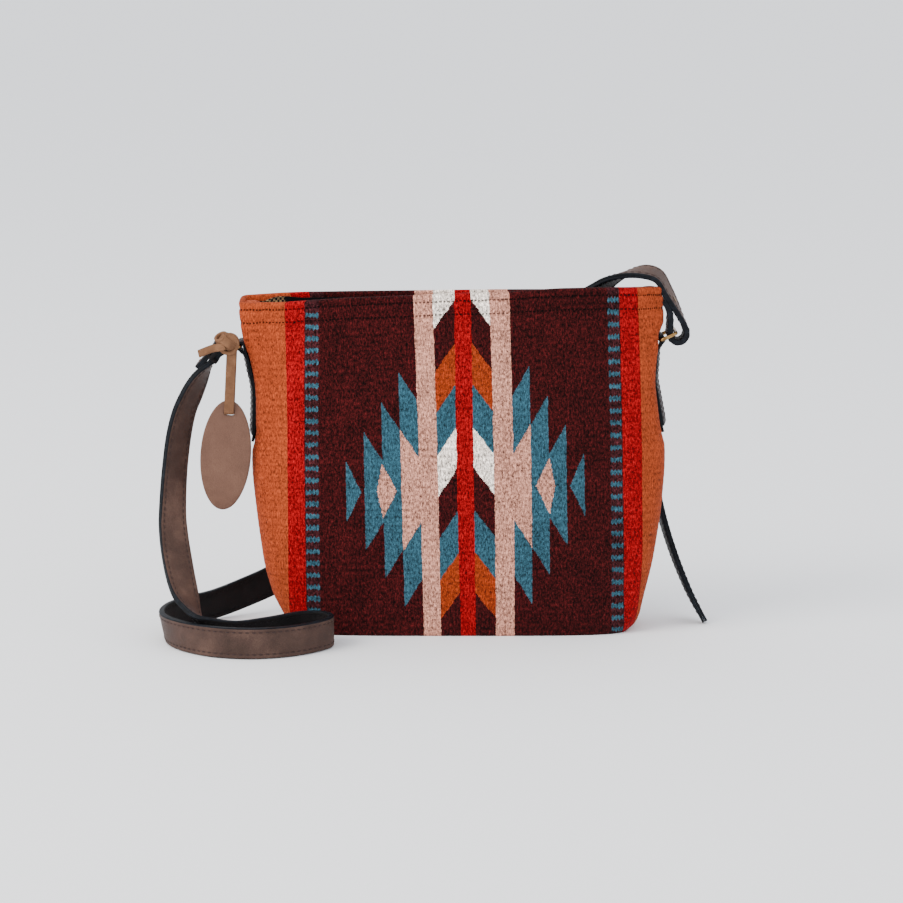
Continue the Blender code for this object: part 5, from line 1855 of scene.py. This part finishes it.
    def tag(self) -> None:
        """Make the oval tag: thick leather with softened edges and a slot.

        The surface runs from the slot's edge out over the front, round the rim and back over the rear to
        the slot. Its other parameter is the turn round the tag.
        """
        down, across, out = self.tag_ways()
        middle = self.knot + np.array(self.tag_from_knot) + self.tag_length / 2 * down
        ways = arc(1.0, np.linspace(0.0, 360.0, 97))
        oval = ways * (self.tag_width / 2, self.tag_length / 2)
        slot = np.sign(ways) * np.abs(ways) ** 0.45 * np.array(self.slot) / 2
        slot = slot + (0.4, self.slot_drop - self.tag_length / 2)
        half = self.tag_thick / 2
        shares = np.array([0.0, 0.012, 0.04, 0.12, 0.3, 0.5, 0.7, 0.85, 0.93, 0.972, 0.99, 1.0, 1.0])
        level = half - np.array([0.35, 0.08, 0.0, 0.0, 0.0, 0.0, 0.0, 0.0, 0.02, 0.14, 0.42, 0.8, half])
        shares, level = np.concatenate([shares, shares[-2::-1]]), np.concatenate([level, -level[-2::-1]])
        shares, level = closed(shares, 0), closed(level, 0)
        flat = slot[None] + shares[:, None, None] * (oval - slot)[None]
        # Both ends and both sides curl a little, as parabolas across and along
        near_rim = (flat / (self.tag_width / 2, self.tag_length / 2)) ** 2
        rise = level[:, None] - near_rim @ (0.35, -0.2)
        grid = middle + flat[..., :1] * across + flat[..., 1:] * down + rise[..., None] * out
        piece = make_piece("tag_leather", [Patch(grid, flat)], [self.finishes.tag], sharp=60.0)
        settle(piece, "tag", "tag")


# ---------------------------------------------------------------- the studio


@dataclass
class Studio:
    """Camera, pale floor and soft light."""

    place: tuple[float, float, float] = (-0.0062, -1.7484, 0.4157)
    down: float = 10.0
    lens: float = 117.4

    def camera(self) -> None:
        """Put the camera where the photograph was taken from."""
        data = bpy.data.cameras.new("camera")
        data.lens, data.sensor_width, data.clip_end = self.lens, 36.0, 200.0
        made = bpy.data.objects.new("camera", data)
        made.location = self.place
        made.rotation_euler = (math.radians(90.0 - self.down), 0.0, 0.0)
        bpy.context.scene.collection.objects.link(made)
        bpy.context.scene.camera = made

    def light(
        self, name: str, place: Sequence[float], size: float, power: float, code: str = "ffffff",
    ) -> None:
        """Add one soft area light that faces the bag.

        Args:
            name: the light's name.
            place: where it stands, in metres.
            size: its side in metres.
            power: its power in watts.
            code: its sRGB hex colour.
        """
        data = bpy.data.lights.new(name, "AREA")
        data.shape, data.size, data.energy, data.color = "SQUARE", size, power, linear(code)[:3]
        made = bpy.data.objects.new(name, data)
        made.location = place
        made.rotation_euler = (Vector((0.0, 0.0, 0.1)) - Vector(place)).to_track_quat("-Z", "Y").to_euler()
        bpy.context.scene.collection.objects.link(made)

    def build(self) -> None:
        """Add the floor, the lights and the even surrounding light."""
        reach = 60.0
        mesh = bpy.data.meshes.new("floor")
        corners = [(-reach, -reach, 0.0), (reach, -reach, 0.0), (reach, reach, 0.0), (-reach, reach, 0.0)]
        mesh.from_pydata(corners, [], [(0, 1, 2, 3)])
        mesh.materials.append(FloorPaper().make())
        floor = bpy.data.objects.new("floor", mesh)
        bpy.context.scene.collection.objects.link(floor)
        world = bpy.data.worlds.new("surroundings")
        world.use_nodes = True
        back = world.node_tree.nodes["Background"]
        back.inputs[0].default_value = linear("f4f6fa")
        back.inputs[1].default_value = 1.7
        bpy.context.scene.world = world
        self.light("key", (-1.9, -1.2, 1.8), 1.5, 62.0, "fffaf2")
        self.light("fill", (1.6, -1.2, 1.2), 1.6, 3.0, "f4f8ff")


def main() -> None:
    """Build every sub-assembly in order."""
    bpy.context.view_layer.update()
    studio = Studio()
    studio.camera()
    finishes = Finishes()
    body = WovenBody(finishes)
    hardware = Hardware(finishes, body)
    strap = Strap(finishes, hardware)
    strap.build_long()
    strap.build_short(hardware.buckle())
    for side in Side:
        hardware.ring(side)
        Tab(finishes, hardware).build(side)
    LacedTag(finishes, strap).build()
    body.build()
    Lining(finishes, body).build()
    studio.build()


if __name__ == "__main__":
    logging.basicConfig(level=logging.INFO, format="%(name)s: %(message)s")
    main()
